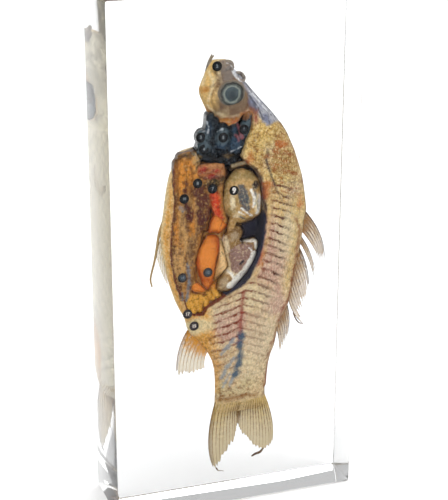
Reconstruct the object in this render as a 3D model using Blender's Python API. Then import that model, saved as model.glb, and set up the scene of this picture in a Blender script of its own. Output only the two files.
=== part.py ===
"""A dissected carp cast upright in a clear resin block, with round number tags on its organs.

Places are worked out in millimetres and made metres by MM. Z is up, X runs to the right along the front face,
and the front face looks along -Y. The origin is at the middle of the block's bottom face.
"""

import math

import bmesh
import bpy
from mathutils import Vector

MM = 0.001
SHARP_ANGLE = math.radians(40)

# The block, and how it is parted for its pocket
BLOCK_WIDTH = 98.0
BLOCK_DEPTH = 32.0
BLOCK_HEIGHT = 200.0
BLOCK_EDGE = 0.8
PARTING_GAP = 0.3
POCKET_ROOM = 2.5
FIN_POCKET_DEPTH = 1.3
TAG_POCKET_ROOM = 0.7

# The fish's trunk: height, belly edge, back edge and half thickness of each cross-section
TRUNK_SECTIONS = (
    (176.0, -5.2, -1.6, 0.9),
    (174.4, -7.6, 0.6, 2.3),
    (172.0, -9.3, 1.8, 3.8),
    (169.6, -10.2, 4.2, 5.0),
    (164.6, -12.0, 7.7, 6.6),
    (161.0, -11.2, 10.7, 7.4),
    (157.0, -9.2, 14.6, 8.1),
    (152.5, -13.4, 18.2, 8.6),
    (147.5, -17.2, 21.8, 9.0),
    (143.0, -19.8, 24.3, 9.2),
    (139.0, -21.4, 25.8, 9.3),
    (134.0, -23.4, 27.5, 9.5),
    (126.0, -25.2, 29.6, 9.6),
    (118.0, -26.5, 30.8, 9.6),
    (111.0, -27.4, 30.0, 9.5),
    (104.0, -26.5, 29.0, 9.4),
    (97.0, -25.2, 27.6, 9.2),
    (90.0, -23.6, 26.2, 8.9),
    (83.0, -21.2, 25.0, 8.5),
    (77.0, -18.2, 23.6, 8.1),
    (72.0, -16.8, 20.8, 7.7),
    (66.5, -12.2, 19.3, 7.3),
    (61.0, -8.8, 18.2, 6.9),
    (54.0, -6.3, 16.0, 6.2),
    (47.0, -6.0, 15.2, 5.4),
    (42.0, -6.1, 14.9, 4.5),
    (39.4, -6.1, 14.8, 3.4),
    (37.2, -5.6, 14.3, 1.9),
    (35.2, -4.6, 13.4, 0.9),
)
TRUNK_FULLNESS = 1.12
TRUNK_SIDES = 24
POCKET_SIDES = 18

# The cut in the near flank, which runs on into the gill chamber and out at the throat
OPENING_OUTLINE = (
    (-15.0, 141.2),
    (-18.8, 139.8),
    (-21.4, 135.5),
    (-22.8, 129.0),
    (-23.2, 122.0),
    (-24.2, 111.0),
    (-23.8, 101.0),
    (-22.0, 92.0),
    (-18.8, 83.5),
    (-16.6, 79.2),
    (-13.4, 78.6),
    (-10.2, 81.4),
    (-4.4, 84.4),
    (1.0, 86.5),
    (5.4, 89.2),
    (9.0, 94.0),
    (11.6, 100.0),
    (13.0, 107.0),
    (13.4, 115.0),
    (12.9, 123.0),
    (11.4, 131.0),
    (7.8, 136.8),
    (5.4, 140.6),
    (6.8, 147.0),
    (8.8, 151.5),
    (7.6, 155.4),
    (4.0, 154.8),
    (1.0, 152.3),
    (-2.5, 151.4),
    (-6.0, 153.2),
    (-9.6, 157.2),
    (-16.0, 159.0),
    (-26.0, 152.0),
    (-16.6, 144.8),
)
OPENING_FLOOR = 2.0

# The throat is cut away right through, between the jaw and the top edge of the belly wall
THROAT_OUTLINE = (
    (-15.2, 142.4),
    (-32.0, 142.9),
    (-32.0, 159.0),
    (-12.6, 158.6),
    (-9.9, 156.6),
    (-8.0, 152.5),
    (-7.8, 147.0),
    (-10.4, 143.4),
)
CUT_REACH = 14.0

EYE_PLACE = (-0.9, 163.3)
EYE_RADIUS = 4.1
EYE_CENTRE_DEPTH = 5.4
EYE_BULGE = 2.8

# A strand is a rounded length of tissue: x, height, depth, half width and half depth along it
STRAND_CAP_SIZE = 0.55
STRAND_CAP_REACH = 0.7
LIP = ((-3.4, 173.2, 0, 0.8, 2.0), (-0.9, 174.2, 0, 1.2, 2.6), (0.9, 172.8, 0, 0.6, 1.6))
JAW_SPIKE = ((-8.3, 171.8, 0, 1.1, 1.6), (-7.5, 175.0, 0, 0.7, 0.8), (-7.0, 177.2, 0, 0.4, 0.4))
NOSTRIL = ((1.6, 170.2, -2.4, 0.9, 1.4), (3.2, 169.6, -2.4, 1.1, 1.8), (4.4, 168.2, -2.2, 0.8, 1.6))
PELVIC_SPINE = (
    (-25.2, 116.0, 0, 0.8, 0.8),
    (-28.6, 105.5, 0, 0.55, 0.55),
    (-30.9, 96.5, 0, 0.5, 0.5),
    (-30.7, 91.4, 0, 0.4, 0.4),
)
TAIL_CURL = ((14.4, 16.6, 0, 0.7, 0.6), (11.8, 15.0, 0, 0.6, 0.6), (9.3, 14.0, 0, 0.6, 0.6))

GILL_STRANDS = (
    (
        (-9.2, 155.6, -1.0, 1.0, 2.4),
        (-11.6, 150.4, -2.0, 2.0, 3.6),
        (-12.2, 146.2, -2.2, 2.4, 4.0),
        (-11.4, 142.4, -2.4, 2.0, 4.2),
    ),
    ((-6.4, 151.8, -2.0, 1.3, 3.6), (-8.6, 147.6, -3.0, 2.2, 4.6), (-7.6, 142.6, -3.0, 2.0, 4.4)),
    ((-3.0, 150.0, -2.6, 1.8, 4.2), (-4.6, 146.6, -3.6, 3.2, 5.0), (-3.6, 142.0, -3.2, 2.0, 4.4)),
    ((0.2, 150.4, -2.4, 1.6, 4.0), (0.8, 146.0, -3.4, 2.6, 4.8), (-0.4, 141.6, -3.0, 2.0, 4.2)),
    (
        (5.6, 153.0, -3.0, 1.5, 4.4),
        (4.4, 150.2, -3.4, 2.7, 5.0),
        (3.4, 145.6, -3.0, 2.2, 4.4),
        (2.6, 141.6, -2.6, 1.8, 4.0),
    ),
    (
        (-12.6, 141.2, -1.6, 1.2, 3.0),
        (-8.0, 139.6, -2.2, 1.8, 3.8),
        (-2.0, 139.3, -2.2, 1.8, 3.8),
        (3.2, 139.9, -1.8, 1.4, 3.2),
    ),
)
HEART_STRANDS = (
    ((-12.4, 135.2, -2.0, 1.3, 3.0), (-9.4, 134.6, -2.8, 2.2, 4.2), (-5.0, 135.0, -2.4, 1.7, 3.6)),
    ((-12.0, 133.4, -2.2, 1.2, 3.2), (-8.2, 133.4, -2.8, 1.7, 4.4), (-4.8, 133.4, -2.4, 1.2, 3.4)),
)
GUT_STRANDS = (
    (
        (-18.6, 137.2, -1.4, 1.5, 2.6),
        (-19.4, 131.0, -1.8, 2.2, 3.2),
        (-20.2, 123.0, -1.8, 2.3, 3.4),
        (-20.9, 112.0, -1.9, 2.3, 3.5),
        (-20.6, 100.0, -1.9, 2.3, 3.5),
        (-18.9, 91.0, -1.6, 1.9, 3.0),
        (-16.8, 83.6, -1.4, 1.6, 2.8),
    ),
    (
        (-15.2, 137.6, -1.8, 1.6, 3.0),
        (-15.8, 131.0, -2.4, 2.3, 4.0),
        (-16.4, 123.0, -2.6, 2.4, 4.2),
        (-16.9, 112.0, -2.8, 2.4, 4.4),
        (-17.1, 102.0, -2.4, 1.8, 4.0),
        (-17.0, 95.6, -1.8, 1.2, 3.0),
    ),
    (
        (-11.8, 129.2, -2.4, 1.5, 3.4),
        (-12.2, 124.0, -3.0, 2.3, 4.4),
        (-12.6, 116.0, -3.0, 2.2, 4.4),
        (-14.2, 107.2, -2.2, 1.2, 3.2),
    ),
    ((-7.6, 129.4, -2.6, 1.6, 3.6), (-7.8, 125.4, -3.2, 2.4, 4.6), (-8.4, 121.2, -2.8, 1.5, 3.8)),
    (
        (-16.2, 81.6, -1.2, 1.5, 2.6),
        (-13.8, 83.0, -2.0, 2.4, 3.4),
        (-10.8, 84.4, -2.0, 1.9, 3.2),
        (-8.6, 85.6, -1.4, 1.0, 2.2),
    ),
)
OVARY_STRANDS = (
    (
        (-6.4, 117.2, -2.6, 1.2, 3.6),
        (-6.3, 113.6, -3.4, 3.0, 4.8),
        (-7.4, 109.0, -3.4, 2.9, 4.8),
        (-9.3, 103.4, -3.6, 4.6, 5.2),
        (-9.6, 98.0, -3.6, 4.5, 5.2),
        (-9.6, 93.6, -3.0, 2.8, 4.4),
        (-9.5, 90.0, -2.0, 1.6, 3.2),
    ),
    ((-10.0, 90.0, -1.8, 1.4, 2.8), (-13.0, 89.8, -2.2, 1.7, 3.6), (-15.4, 91.2, -1.8, 1.1, 2.6)),
)
BLADDER_STRANDS = (
    (
        (2.4, 134.6, -2.4, 1.8, 3.2),
        (3.4, 131.6, -3.4, 5.8, 4.6),
        (4.2, 127.0, -4.0, 7.8, 5.4),
        (4.4, 121.6, -4.0, 7.8, 5.4),
        (3.8, 117.0, -3.6, 6.0, 5.0),
        (1.8, 112.6, -2.8, 3.2, 4.2),
        (1.8, 108.8, -3.0, 4.8, 4.4),
        (3.0, 104.0, -3.6, 6.5, 5.0),
        (2.8, 98.6, -3.6, 5.7, 5.0),
        (0.2, 93.6, -3.2, 5.2, 4.6),
        (-1.8, 89.8, -2.6, 4.0, 3.8),
        (-2.2, 87.4, -1.8, 1.9, 2.6),
    ),
)

# A fin ray runs from its root through its middle to its tip, each given as x and height
RAY_ROWS = 3
RAY_TAPER = 0.4
RAY_HALF_THICKNESS = 0.55
WEB_HALF_THICKNESS = 0.26
WEB_SET_BACK = 0.07
DORSAL_FRONT_RAYS = (
    ((28.6, 117.0), (37.0, 104.8), (38.9, 93.0)),
    ((28.4, 112.5), (35.2, 103.5), (38.1, 92.4)),
    ((28.0, 108.5), (33.4, 101.4), (37.0, 94.0)),
)
DORSAL_TUFT_RAYS = (
    ((27.8, 106.5), (32.6, 98.6), (35.7, 88.8)),
    ((27.6, 104.0), (31.8, 96.6), (35.0, 87.2)),
)
DORSAL_MIDDLE_RAYS = (
    ((27.2, 102.5), (31.3, 93.4), (33.0, 83.2)),
    ((26.2, 97.5), (30.0, 88.6), (31.9, 80.0)),
    ((25.2, 93.0), (28.3, 84.4), (30.5, 76.4)),
    ((24.4, 88.0), (26.9, 80.2), (29.4, 73.9)),
    ((23.8, 84.5), (25.7, 75.4), (30.7, 68.5)),
)
DORSAL_REAR_RAYS = (
    ((22.8, 80.0), (24.7, 72.6), (24.3, 64.4)),
    ((21.6, 77.0), (23.5, 69.4), (23.2, 61.8)),
    ((19.8, 73.5), (22.2, 66.4), (21.9, 59.2)),
    ((18.6, 70.5), (20.5, 63.4), (20.5, 56.0)),
)
TAIL_RAYS = (
    ((-4.9, 42.0), (-8.2, 25.0), (-6.3, 11.4)),
    ((-3.2, 42.0), (-5.5, 26.0), (-4.9, 10.1)),
    ((-1.2, 42.0), (-2.9, 27.0), (-2.9, 15.2)),
    ((0.6, 42.0), (-0.3, 30.0), (-0.4, 18.0)),
    ((2.2, 42.0), (1.6, 32.0), (2.0, 21.6)),
    ((3.4, 42.0), (3.0, 34.5), (2.8, 26.4)),
    ((4.2, 42.0), (3.7, 35.5), (3.3, 29.4)),
    ((5.0, 42.0), (4.6, 34.0), (4.7, 25.2)),
    ((6.6, 42.0), (6.6, 32.0), (6.6, 23.2)),
    ((8.2, 42.0), (8.9, 30.0), (8.6, 20.6)),
    ((10.0, 42.0), (11.3, 28.5), (11.1, 16.6)),
    ((11.6, 42.0), (13.8, 27.5), (13.9, 15.0)),
    ((12.8, 42.0), (16.1, 28.5), (16.8, 17.0)),
    ((13.6, 42.0), (18.0, 29.0), (18.1, 18.0)),
)
ANAL_RAYS = (
    ((-14.4, 75.0), (-19.7, 66.0), (-21.6, 54.2)),
    ((-12.6, 72.0), (-17.4, 63.6), (-19.2, 52.5)),
    ((-10.8, 69.5), (-15.0, 62.0), (-16.2, 53.7)),
    ((-9.0, 67.0), (-12.6, 60.4), (-13.0, 54.1)),
    ((-7.6, 64.0), (-10.0, 60.0), (-10.2, 55.0)),
)
PELVIC_RAYS = (
    ((-25.2, 114.0), (-28.1, 106.5), (-28.5, 101.4)),
    ((-24.8, 111.0), (-27.3, 102.5), (-26.9, 96.4)),
    ((-24.4, 108.0), (-26.4, 99.4), (-25.3, 92.2)),
    ((-24.0, 105.0), (-25.2, 96.6), (-23.8, 89.8)),
)
# The far flank keeps its pectoral fin, which lies back along it
PECTORAL_RAYS = (
    ((-10.6, 141.4), (-9.8, 130.0), (-11.4, 119.4)),
    ((-12.4, 141.6), (-13.4, 128.4), (-16.2, 117.2)),
    ((-14.2, 140.8), (-17.4, 130.2), (-19.6, 121.8)),
)
PECTORAL_DEPTHS = ((6.4, 8.9), (5.0, 6.9))

# Coarse outlines of the thin spaces in the resin that hold the fins and the jaw's tip
FIN_POCKET_OUTLINES = (
    ((-11, 170), (-9.5, 179.2), (-5.5, 179.2), (0, 176.5), (3, 174), (4, 170)),
    ((20, 118), (31, 119.5), (38, 109.5), (41.5, 100), (41, 90), (36.5, 84.5), (33, 66), (22, 53.5), (12, 60)),
    ((-8.5, 44), (17, 44), (20.2, 33), (20.2, 16), (12, 12), (0, 12), (-3, 8), (-8.5, 9.6), (-10.4, 26)),
    ((-5, 74), (-20, 74), (-23.8, 58), (-23, 52), (-18, 50.6), (-8.4, 53), (-5, 62)),
    ((-20, 118), (-28, 114), (-33, 94), (-31.5, 89.5), (-22, 87.5)),
)

# The gills stand out past the trunk, and so have a space of their own
GILL_POCKET_OUTLINE = ((-17, 158), (-12, 160), (8, 158), (9, 137), (-14, 137), (-17, 141))
GILL_POCKET_FRONT = -11.2
GILL_POCKET_BACK = 2.8

# The tags: x, depth and height of each disc's middle
TAG_PLACES = (
    (-6.0, -4.3, 173.6),
    (-12.8, -6.6, 148.3),
    (-11.7, -7.0, 143.8),
    (-4.7, -9.0, 148.0),
    (3.4, -8.8, 150.4),
    (-14.2, -7.2, 131.2),
    (-19.2, -6.4, 125.6),
    (-8.6, -8.2, 128.8),
    (-0.5, -9.3, 127.6),
    (-10.8, -9.3, 96.6),
    (-20.0, -5.9, 94.8),
    (-17.8, -4.2, 79.6),
    (-15.4, -5.0, 74.6),
)
TAG_RADIUS = 1.85
TAG_THICKNESS = 0.3
TAG_SIDES = 12

# The tags that stand out past the trunk's pocket
PROUD_TAGS = (1, 12, 13)


def material(name, colour, roughness, transmission=0.0):
    """A Principled material with the piece's colour."""
    made = bpy.data.materials.new(name)
    made.use_nodes = True
    shader = made.node_tree.nodes["Principled BSDF"]
    shader.inputs["Base Color"].default_value = (*colour, 1.0)
    shader.inputs["Roughness"].default_value = roughness
    shader.inputs["Metallic"].default_value = 0.0
    shader.inputs["Transmission Weight"].default_value = transmission
    shader.inputs["IOR"].default_value = 1.49
    return made


def piece(name, form, finish=None):
    """An object from a bmesh whose places are in millimetres."""
    bmesh.ops.recalc_face_normals(form, faces=form.faces)
    bmesh.ops.scale(form, vec=(MM, MM, MM), verts=form.verts)
    mesh = bpy.data.meshes.new(name)
    form.to_mesh(mesh)
    form.free()
    made = bpy.data.objects.new(name, mesh)
    bpy.context.scene.collection.objects.link(made)
    if finish:
        mesh.materials.append(finish)
        mesh.shade_smooth()
        mesh.set_sharp_from_angle(angle=SHARP_ANGLE)
    return made


def helper(name, form):
    """A cutter, or a shape to be fused with another, which isn't a piece of its own."""
    made = piece(name, form)
    made.hide_render = True
    made.display_type = "WIRE"
    return made


def combine(target, operation, others, solver="EXACT"):
    """Cuts or fuses the other objects with the target, one after another."""
    for other in others:
        step = target.modifiers.new(operation.title() + " " + other.name, "BOOLEAN")
        step.operation = operation
        step.solver = solver
        step.object = other


def between(a, b, c, d, t):
    """A value on the smooth curve through b and c, whose neighbours are a and d."""
    return b + 0.5 * t * (c - a + t * (2 * a - 5 * b + 4 * c - d + t * (3 * b - a - 3 * c + d)))


def curve_through(points, steps):
    """Points on a smooth curve through the given ones, with any number of values in each."""
    made = []
    last = len(points) - 1
    for i in range(last):
        near = [points[min(max(i + k, 0), last)] for k in (-1, 0, 1, 2)]
        for step in range(steps):
            made.append(tuple(between(*values, step / steps) for values in zip(*near)))
    made.append(points[last])
    return made


def loft(form, rings):
    """Joins closed rings of points into a tube with its two ends filled."""
    made = [[form.verts.new(point) for point in ring] for ring in rings]
    count = len(made[0])
    for near, far in zip(made, made[1:]):
        for i in range(count):
            form.faces.new((near[i], near[(i + 1) % count], far[(i + 1) % count], far[i]))
    form.faces.new(made[0])
    form.faces.new(reversed(made[-1]))


def trunk(sections, sides, grow):
    """The fish's lens-shaped cross-sections, grown by the given amount all round."""
    form = bmesh.new()
    rings = []
    for height, belly, back, half_thickness in sections:
        if height == sections[0][0]:
            height += grow
        if height == sections[-1][0]:
            height -= grow
        centre = (belly + back) / 2
        half_width = (back - belly) / 2 + grow
        ring = []
        for i in range(sides):
            turn = 2 * math.pi * i / sides
            depth = (half_thickness + grow) * abs(math.sin(turn)) ** TRUNK_FULLNESS
            ring.append((centre + half_width * math.cos(turn), math.copysign(depth, math.sin(turn)), height))
        rings.append(ring)
    loft(form, rings)
    return form


def slab(outline, front, back):
    """A flat plate with the given outline, between two depths."""
    form = bmesh.new()
    loft(form, [[(x, depth, height) for x, height in outline] for depth in (front, back)])
    return form


def strand(points, sides=8, steps=2):
    """A rounded length of tissue with elliptical cross-sections and closed round ends."""
    form = bmesh.new()
    path = curve_through(points, steps)
    places = [Vector((x, depth, height)) for x, height, depth, _, _ in path]
    rings = []
    for i, (_, _, _, half_width, half_depth) in enumerate(path):
        ahead = (places[min(i + 1, len(path) - 1)] - places[max(i - 1, 0)]).normalized()
        across = Vector((ahead.z, 0, -ahead.x)).normalized()
        ring = []
        for k in range(sides):
            turn = 2 * math.pi * k / sides
            outward_depth = Vector((0, half_depth * math.sin(turn), 0))
            ring.append(places[i] + across * half_width * math.cos(turn) + outward_depth)
        rings.append(ring)
        if i in (0, len(path) - 1):
            outward = -ahead if i == 0 else ahead
            end = outward * half_width * STRAND_CAP_REACH
            cap = [places[i].lerp(point, STRAND_CAP_SIZE) + end for point in ring]
            rings.insert(0 if i == 0 else len(rings), cap)
    loft(form, rings)
    return form


def fin(guides, ray_count, depths=((0, 0), (0, 0))):
    """A thin web stiffened by raised rays, and ragged where the web is set back between their tips.

    The depths are those of the root and the tip, on the first ray and on the last.
    """
    form = bmesh.new()
    columns = 2 * ray_count - 1
    front, behind = [], []
    for column in range(columns):
        place = column / (columns - 1) * (len(guides) - 1)
        first = min(int(place), len(guides) - 2)
        root, middle, tip = (
            Vector(a).lerp(Vector(b), place - first) for a, b in zip(guides[first], guides[first + 1])
        )
        handle = 2 * middle - (root + tip) / 2
        root_depth, tip_depth = Vector(depths[0]).lerp(Vector(depths[1]), column / (columns - 1))
        on_ray = column % 2 == 0
        reach = 1.0 if on_ray else 1.0 - WEB_SET_BACK
        thickness = RAY_HALF_THICKNESS if on_ray else WEB_HALF_THICKNESS
        for side, row in ((-1, front), (1, behind)):
            line = []
            for step in range(RAY_ROWS + 1):
                t = reach * step / RAY_ROWS
                spot = root * (1 - t) ** 2 + handle * 2 * t * (1 - t) + tip * t**2
                depth = root_depth * (1 - t) + tip_depth * t
                depth += side * thickness * (1 - RAY_TAPER * t)
                line.append(form.verts.new((spot.x, depth, spot.y)))
            row.append(line)
    for a in range(columns - 1):
        for b in range(RAY_ROWS):
            form.faces.new((front[a][b], front[a + 1][b], front[a + 1][b + 1], front[a][b + 1]))
            form.faces.new((behind[a][b], behind[a][b + 1], behind[a + 1][b + 1], behind[a + 1][b]))
        for b in (0, RAY_ROWS):
            form.faces.new((front[a][b], front[a + 1][b], behind[a + 1][b], behind[a][b]))
    for a in (0, columns - 1):
        for b in range(RAY_ROWS):
            form.faces.new((front[a][b], front[a][b + 1], behind[a][b + 1], behind[a][b]))
    return form


def ball(place, radii):
    """An egg shape with its own half sizes along X, Y and Z."""
    form = bmesh.new()
    bmesh.ops.create_uvsphere(form, u_segments=12, v_segments=6, radius=1.0)
    bmesh.ops.scale(form, vec=radii, verts=form.verts)
    bmesh.ops.translate(form, vec=place, verts=form.verts)
    return form


def disc(place, radius, front, back, sides):
    """A round plate that faces the front, between two depths."""
    x, height = place
    turns = [2 * math.pi * i / sides for i in range(sides)]
    return slab([(x + radius * math.cos(a), height + radius * math.sin(a)) for a in turns], front, back)


def block_half(name, front, back, finish):
    """One half of the block, with all its outer edges eased and a square edge at the parting."""
    form = bmesh.new()
    bmesh.ops.create_cube(form, size=1.0)
    bmesh.ops.scale(form, vec=(BLOCK_WIDTH, back - front, BLOCK_HEIGHT), verts=form.verts)
    bmesh.ops.translate(form, vec=(0, (front + back) / 2, BLOCK_HEIGHT / 2), verts=form.verts)
    parting = min(abs(front), abs(back))
    outer = [e for e in form.edges if not all(abs(v.co.y) < parting + 1e-4 for v in e.verts)]
    bmesh.ops.bevel(form, geom=outer, offset=BLOCK_EDGE, segments=2, profile=0.5, affect="EDGES")
    return piece(name, form, finish)


def fused(name, strands, sides, finish):
    """One piece from strands of tissue that run into each other."""
    made = piece(name, strand(strands[0], sides), finish)
    others = [helper(f"{name} strand {i}", strand(points, sides)) for i, points in enumerate(strands[1:], 2)]
    combine(made, "UNION", others)
    return made


for old in list(bpy.data.objects):
    bpy.data.objects.remove(old)

CLEAR_RESIN = material("clear resin", (0.97, 0.98, 0.98), 0.02, transmission=1.0)
FISH_FLESH = material("preserved fish", (0.62, 0.45, 0.24), 0.5)
GILL_TISSUE = material("gill tissue", (0.03, 0.05, 0.09), 0.35)
RED_TISSUE = material("red tissue", (0.55, 0.12, 0.06), 0.4)
GUT_TISSUE = material("liver and gut", (0.36, 0.19, 0.07), 0.45)
ROE = material("roe", (0.78, 0.28, 0.05), 0.5)
BLADDER_SKIN = material("bladder skin", (0.55, 0.50, 0.38), 0.15)
TAG_CARD = material("tag card", (0.05, 0.05, 0.06), 0.4)

# The fish: trunk, opening, eyes, lips and fins, all in one piece
fish = piece("fish", trunk(TRUNK_SECTIONS, TRUNK_SIDES, 0), FISH_FLESH)
opening = helper("opening cutter", slab(OPENING_OUTLINE, -CUT_REACH, OPENING_FLOOR))
throat = helper("throat cutter", slab(THROAT_OUTLINE, -CUT_REACH, CUT_REACH))
combine(fish, "DIFFERENCE", [opening, throat], solver="MANIFOLD")
growths = []
for side, depth in (("near eye", -EYE_CENTRE_DEPTH), ("far eye", EYE_CENTRE_DEPTH)):
    place = (EYE_PLACE[0], depth, EYE_PLACE[1])
    growths.append(helper(side, ball(place, (EYE_RADIUS, EYE_BULGE, EYE_RADIUS))))
for name, points in (
    ("lip", LIP),
    ("jaw spike", JAW_SPIKE),
    ("nostril", NOSTRIL),
    ("pelvic spine", PELVIC_SPINE),
):
    growths.append(helper(name, strand(points, sides=6)))
for name, rays, count in (
    ("dorsal fin front", DORSAL_FRONT_RAYS, 6),
    ("dorsal fin tuft", DORSAL_TUFT_RAYS, 3),
    ("dorsal fin middle", DORSAL_MIDDLE_RAYS, 9),
    ("dorsal fin rear", DORSAL_REAR_RAYS, 6),
    ("tail fin", TAIL_RAYS, 17),
    ("anal fin", ANAL_RAYS, 7),
    ("pelvic fin", PELVIC_RAYS, 5),
):
    growths.append(helper(name, fin(rays, count)))
growths.append(helper("tail curl", strand(TAIL_CURL, sides=6)))
growths.append(helper("pectoral fin", fin(PECTORAL_RAYS, 6, PECTORAL_DEPTHS)))
combine(fish, "UNION", growths, solver="MANIFOLD")

# The organs that the opening shows
fused("gills", GILL_STRANDS, 7, GILL_TISSUE)
fused("heart", HEART_STRANDS, 8, RED_TISSUE)
fused("gut", GUT_STRANDS, 8, GUT_TISSUE)
fused("ovary", OVARY_STRANDS, 10, ROE)
fused("swim_bladder", BLADDER_STRANDS, 12, BLADDER_SKIN)

# The number tags
for number, (x, depth, height) in enumerate(TAG_PLACES, 1):
    half = TAG_THICKNESS / 2
    form = disc((x, height), TAG_RADIUS, depth - half, depth + half, TAG_SIDES)
    piece(f"tag_{number:02d}", form, TAG_CARD)

# The resin, parted through the fish, with the pocket that fits round it
half_gap = PARTING_GAP / 2
resin_front = block_half("resin_front", -BLOCK_DEPTH / 2, -half_gap, CLEAR_RESIN)
resin_back = block_half("resin_back", half_gap, BLOCK_DEPTH / 2, CLEAR_RESIN)
pocket = helper("trunk pocket", trunk(TRUNK_SECTIONS, POCKET_SIDES, POCKET_ROOM))
rooms = [helper("gill pocket", slab(GILL_POCKET_OUTLINE, GILL_POCKET_FRONT, GILL_POCKET_BACK))]
for number, outline in enumerate(FIN_POCKET_OUTLINES, 1):
    rooms.append(helper(f"fin pocket {number}", slab(outline, -FIN_POCKET_DEPTH, FIN_POCKET_DEPTH)))
for number in PROUD_TAGS:
    x, depth, height = TAG_PLACES[number - 1]
    radius = TAG_RADIUS + TAG_POCKET_ROOM
    form = disc((x, height), radius, depth - TAG_POCKET_ROOM, FIN_POCKET_DEPTH, TAG_SIDES)
    rooms.append(helper(f"tag pocket {number}", form))
combine(pocket, "UNION", rooms, solver="MANIFOLD")
combine(resin_front, "DIFFERENCE", [pocket], solver="MANIFOLD")
combine(resin_back, "DIFFERENCE", [pocket], solver="MANIFOLD")
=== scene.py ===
import math

import bmesh
import bpy
import numpy as np
from mathutils import Euler, Matrix, Vector


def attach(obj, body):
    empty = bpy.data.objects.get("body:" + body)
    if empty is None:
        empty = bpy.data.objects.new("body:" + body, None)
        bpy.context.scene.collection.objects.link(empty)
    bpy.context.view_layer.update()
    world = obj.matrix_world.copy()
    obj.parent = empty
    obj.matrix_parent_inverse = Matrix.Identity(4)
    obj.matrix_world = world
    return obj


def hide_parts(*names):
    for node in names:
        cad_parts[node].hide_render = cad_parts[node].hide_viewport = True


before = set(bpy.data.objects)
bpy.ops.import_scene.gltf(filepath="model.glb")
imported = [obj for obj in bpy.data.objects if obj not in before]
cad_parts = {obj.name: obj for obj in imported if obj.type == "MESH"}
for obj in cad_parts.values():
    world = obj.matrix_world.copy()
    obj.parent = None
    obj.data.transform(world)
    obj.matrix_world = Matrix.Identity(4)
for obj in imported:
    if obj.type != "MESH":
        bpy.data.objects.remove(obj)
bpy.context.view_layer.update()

# The studio: a pale matt floor, a white surround that is brightest above and behind the camera, and one
# soft lamp over the back. The camera stands at the front left, a little above the block's middle.
MM = 0.001
CAMERA_PLACE = (-0.1610, -0.4481, 0.2602)
CAMERA_TURN = math.radians(19.74)
CAMERA_DIP = math.radians(18.53)
CAMERA_ROLL = math.radians(0.16)
CAMERA_LENS = 93.6
FLOOR_REACH = 3.0
FLOOR_HEIGHT = -0.0003
LAMP_PLACE = (0.4, 0.5, 0.9)
LAMP_TARGET = (0.0, 0.05, 0.0)
LAMP_SIZE = 0.8
LAMP_POWER = 6.0
SURROUND_BASE = 0.55
SURROUND_GLOW = 2.8
WHITE = (1.0, 1.0, 1.0, 1.0)
FLOOR_COLOUR = (0.86, 0.86, 0.865, 1.0)


def node(tree, kind, inputs=None, **settings):
    """A node with its settings and its inputs, each a value, a colour's code or another node's output."""
    made = tree.nodes.new(kind)
    for key, value in settings.items():
        setattr(made, key, value)
    for key, value in (inputs or {}).items():
        socket = made.inputs[key]
        if isinstance(value, bpy.types.NodeSocket):
            tree.links.new(value, socket)
        elif socket.type == "RGBA" and isinstance(value, str):
            socket.default_value = colour(value)
        else:
            socket.default_value = value
    return made


def colour(code):
    """A colour from its six-figure code."""
    parts = [int(code[i : i + 2], 16) / 255 for i in (0, 2, 4)]
    return (*[p / 12.92 if p <= 0.04045 else ((p + 0.055) / 1.055) ** 2.4 for p in parts], 1.0)


def span(value, low, high, to_low=0.0, to_high=1.0):
    """A value moved from one range to another, and held at its ends."""
    ends = {"Value": value, "From Min": low, "From Max": high, "To Min": to_low, "To Max": to_high}
    return node(value.id_data, "ShaderNodeMapRange", ends).outputs[0]


def reckoned(operation, *values):
    """One value from several, taken together from the first to the last."""
    tree = next(value.id_data for value in values if isinstance(value, bpy.types.NodeSocket))
    total = values[0]
    for value in values[1:]:
        total = node(tree, "ShaderNodeMath", {0: total, 1: value}, operation=operation).outputs[0]
    return total


def sum_of(*values):
    """The sum of some values."""
    return reckoned("ADD", *values)


def times(*values):
    """The product of some values."""
    return reckoned("MULTIPLY", *values)


def linked(name, data):
    """A new object in the scene, from its mesh, lamp, lens or text."""
    made = bpy.data.objects.new(name, data)
    bpy.context.scene.collection.objects.link(made)
    return made


lens = bpy.data.cameras.new("camera")
lens.lens = CAMERA_LENS
lens.sensor_width = 36.0
lens.clip_start = 0.01
camera = linked("camera", lens)
aim = Euler((math.pi / 2 - CAMERA_DIP, 0, -CAMERA_TURN)).to_matrix() @ Matrix.Rotation(CAMERA_ROLL, 3, "Z")
camera.matrix_world = Matrix.Translation(CAMERA_PLACE) @ aim.to_4x4()
bpy.context.scene.camera = camera
bpy.context.scene.view_settings.view_transform = "Standard"

sky = bpy.data.worlds.new("studio")
bpy.context.scene.world = sky
sky.use_nodes = True
tree = sky.node_tree
direction = node(tree, "ShaderNodeTexCoord").outputs["Generated"]
toward = node(tree, "ShaderNodeSeparateXYZ", {0: direction}).outputs
upward = span(toward["Z"], 0.0, 0.6)
ahead = span(toward["Y"], 0.1, -0.7)
brightness = sum_of(SURROUND_BASE, times(upward, ahead, SURROUND_GLOW))
tree.links.new(brightness, tree.nodes["Background"].inputs["Strength"])
tree.nodes["Background"].inputs["Color"].default_value = WHITE

floor_mesh = bpy.data.meshes.new("floor")
reach = FLOOR_REACH
corners = [(-reach, -reach), (reach, -reach), (reach, reach), (-reach, reach)]
floor_mesh.from_pydata([(a, b, FLOOR_HEIGHT) for a, b in corners], [], [(0, 1, 2, 3)])
floor = linked("floor", floor_mesh)
floor_paint = bpy.data.materials.new("studio floor")
floor_paint.use_nodes = True
tree = floor_paint.node_tree
shader = tree.nodes["Principled BSDF"]
grain = node(tree, "ShaderNodeTexNoise", {"Scale": 900.0, "Detail": 3.0}).outputs["Fac"]
shader.inputs["Base Color"].default_value = FLOOR_COLOUR
tree.links.new(span(grain, 0, 1, 0.5, 0.7), shader.inputs["Roughness"])
shader.inputs["Specular IOR Level"].default_value = 0.2
floor_mesh.materials.append(floor_paint)


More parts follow.
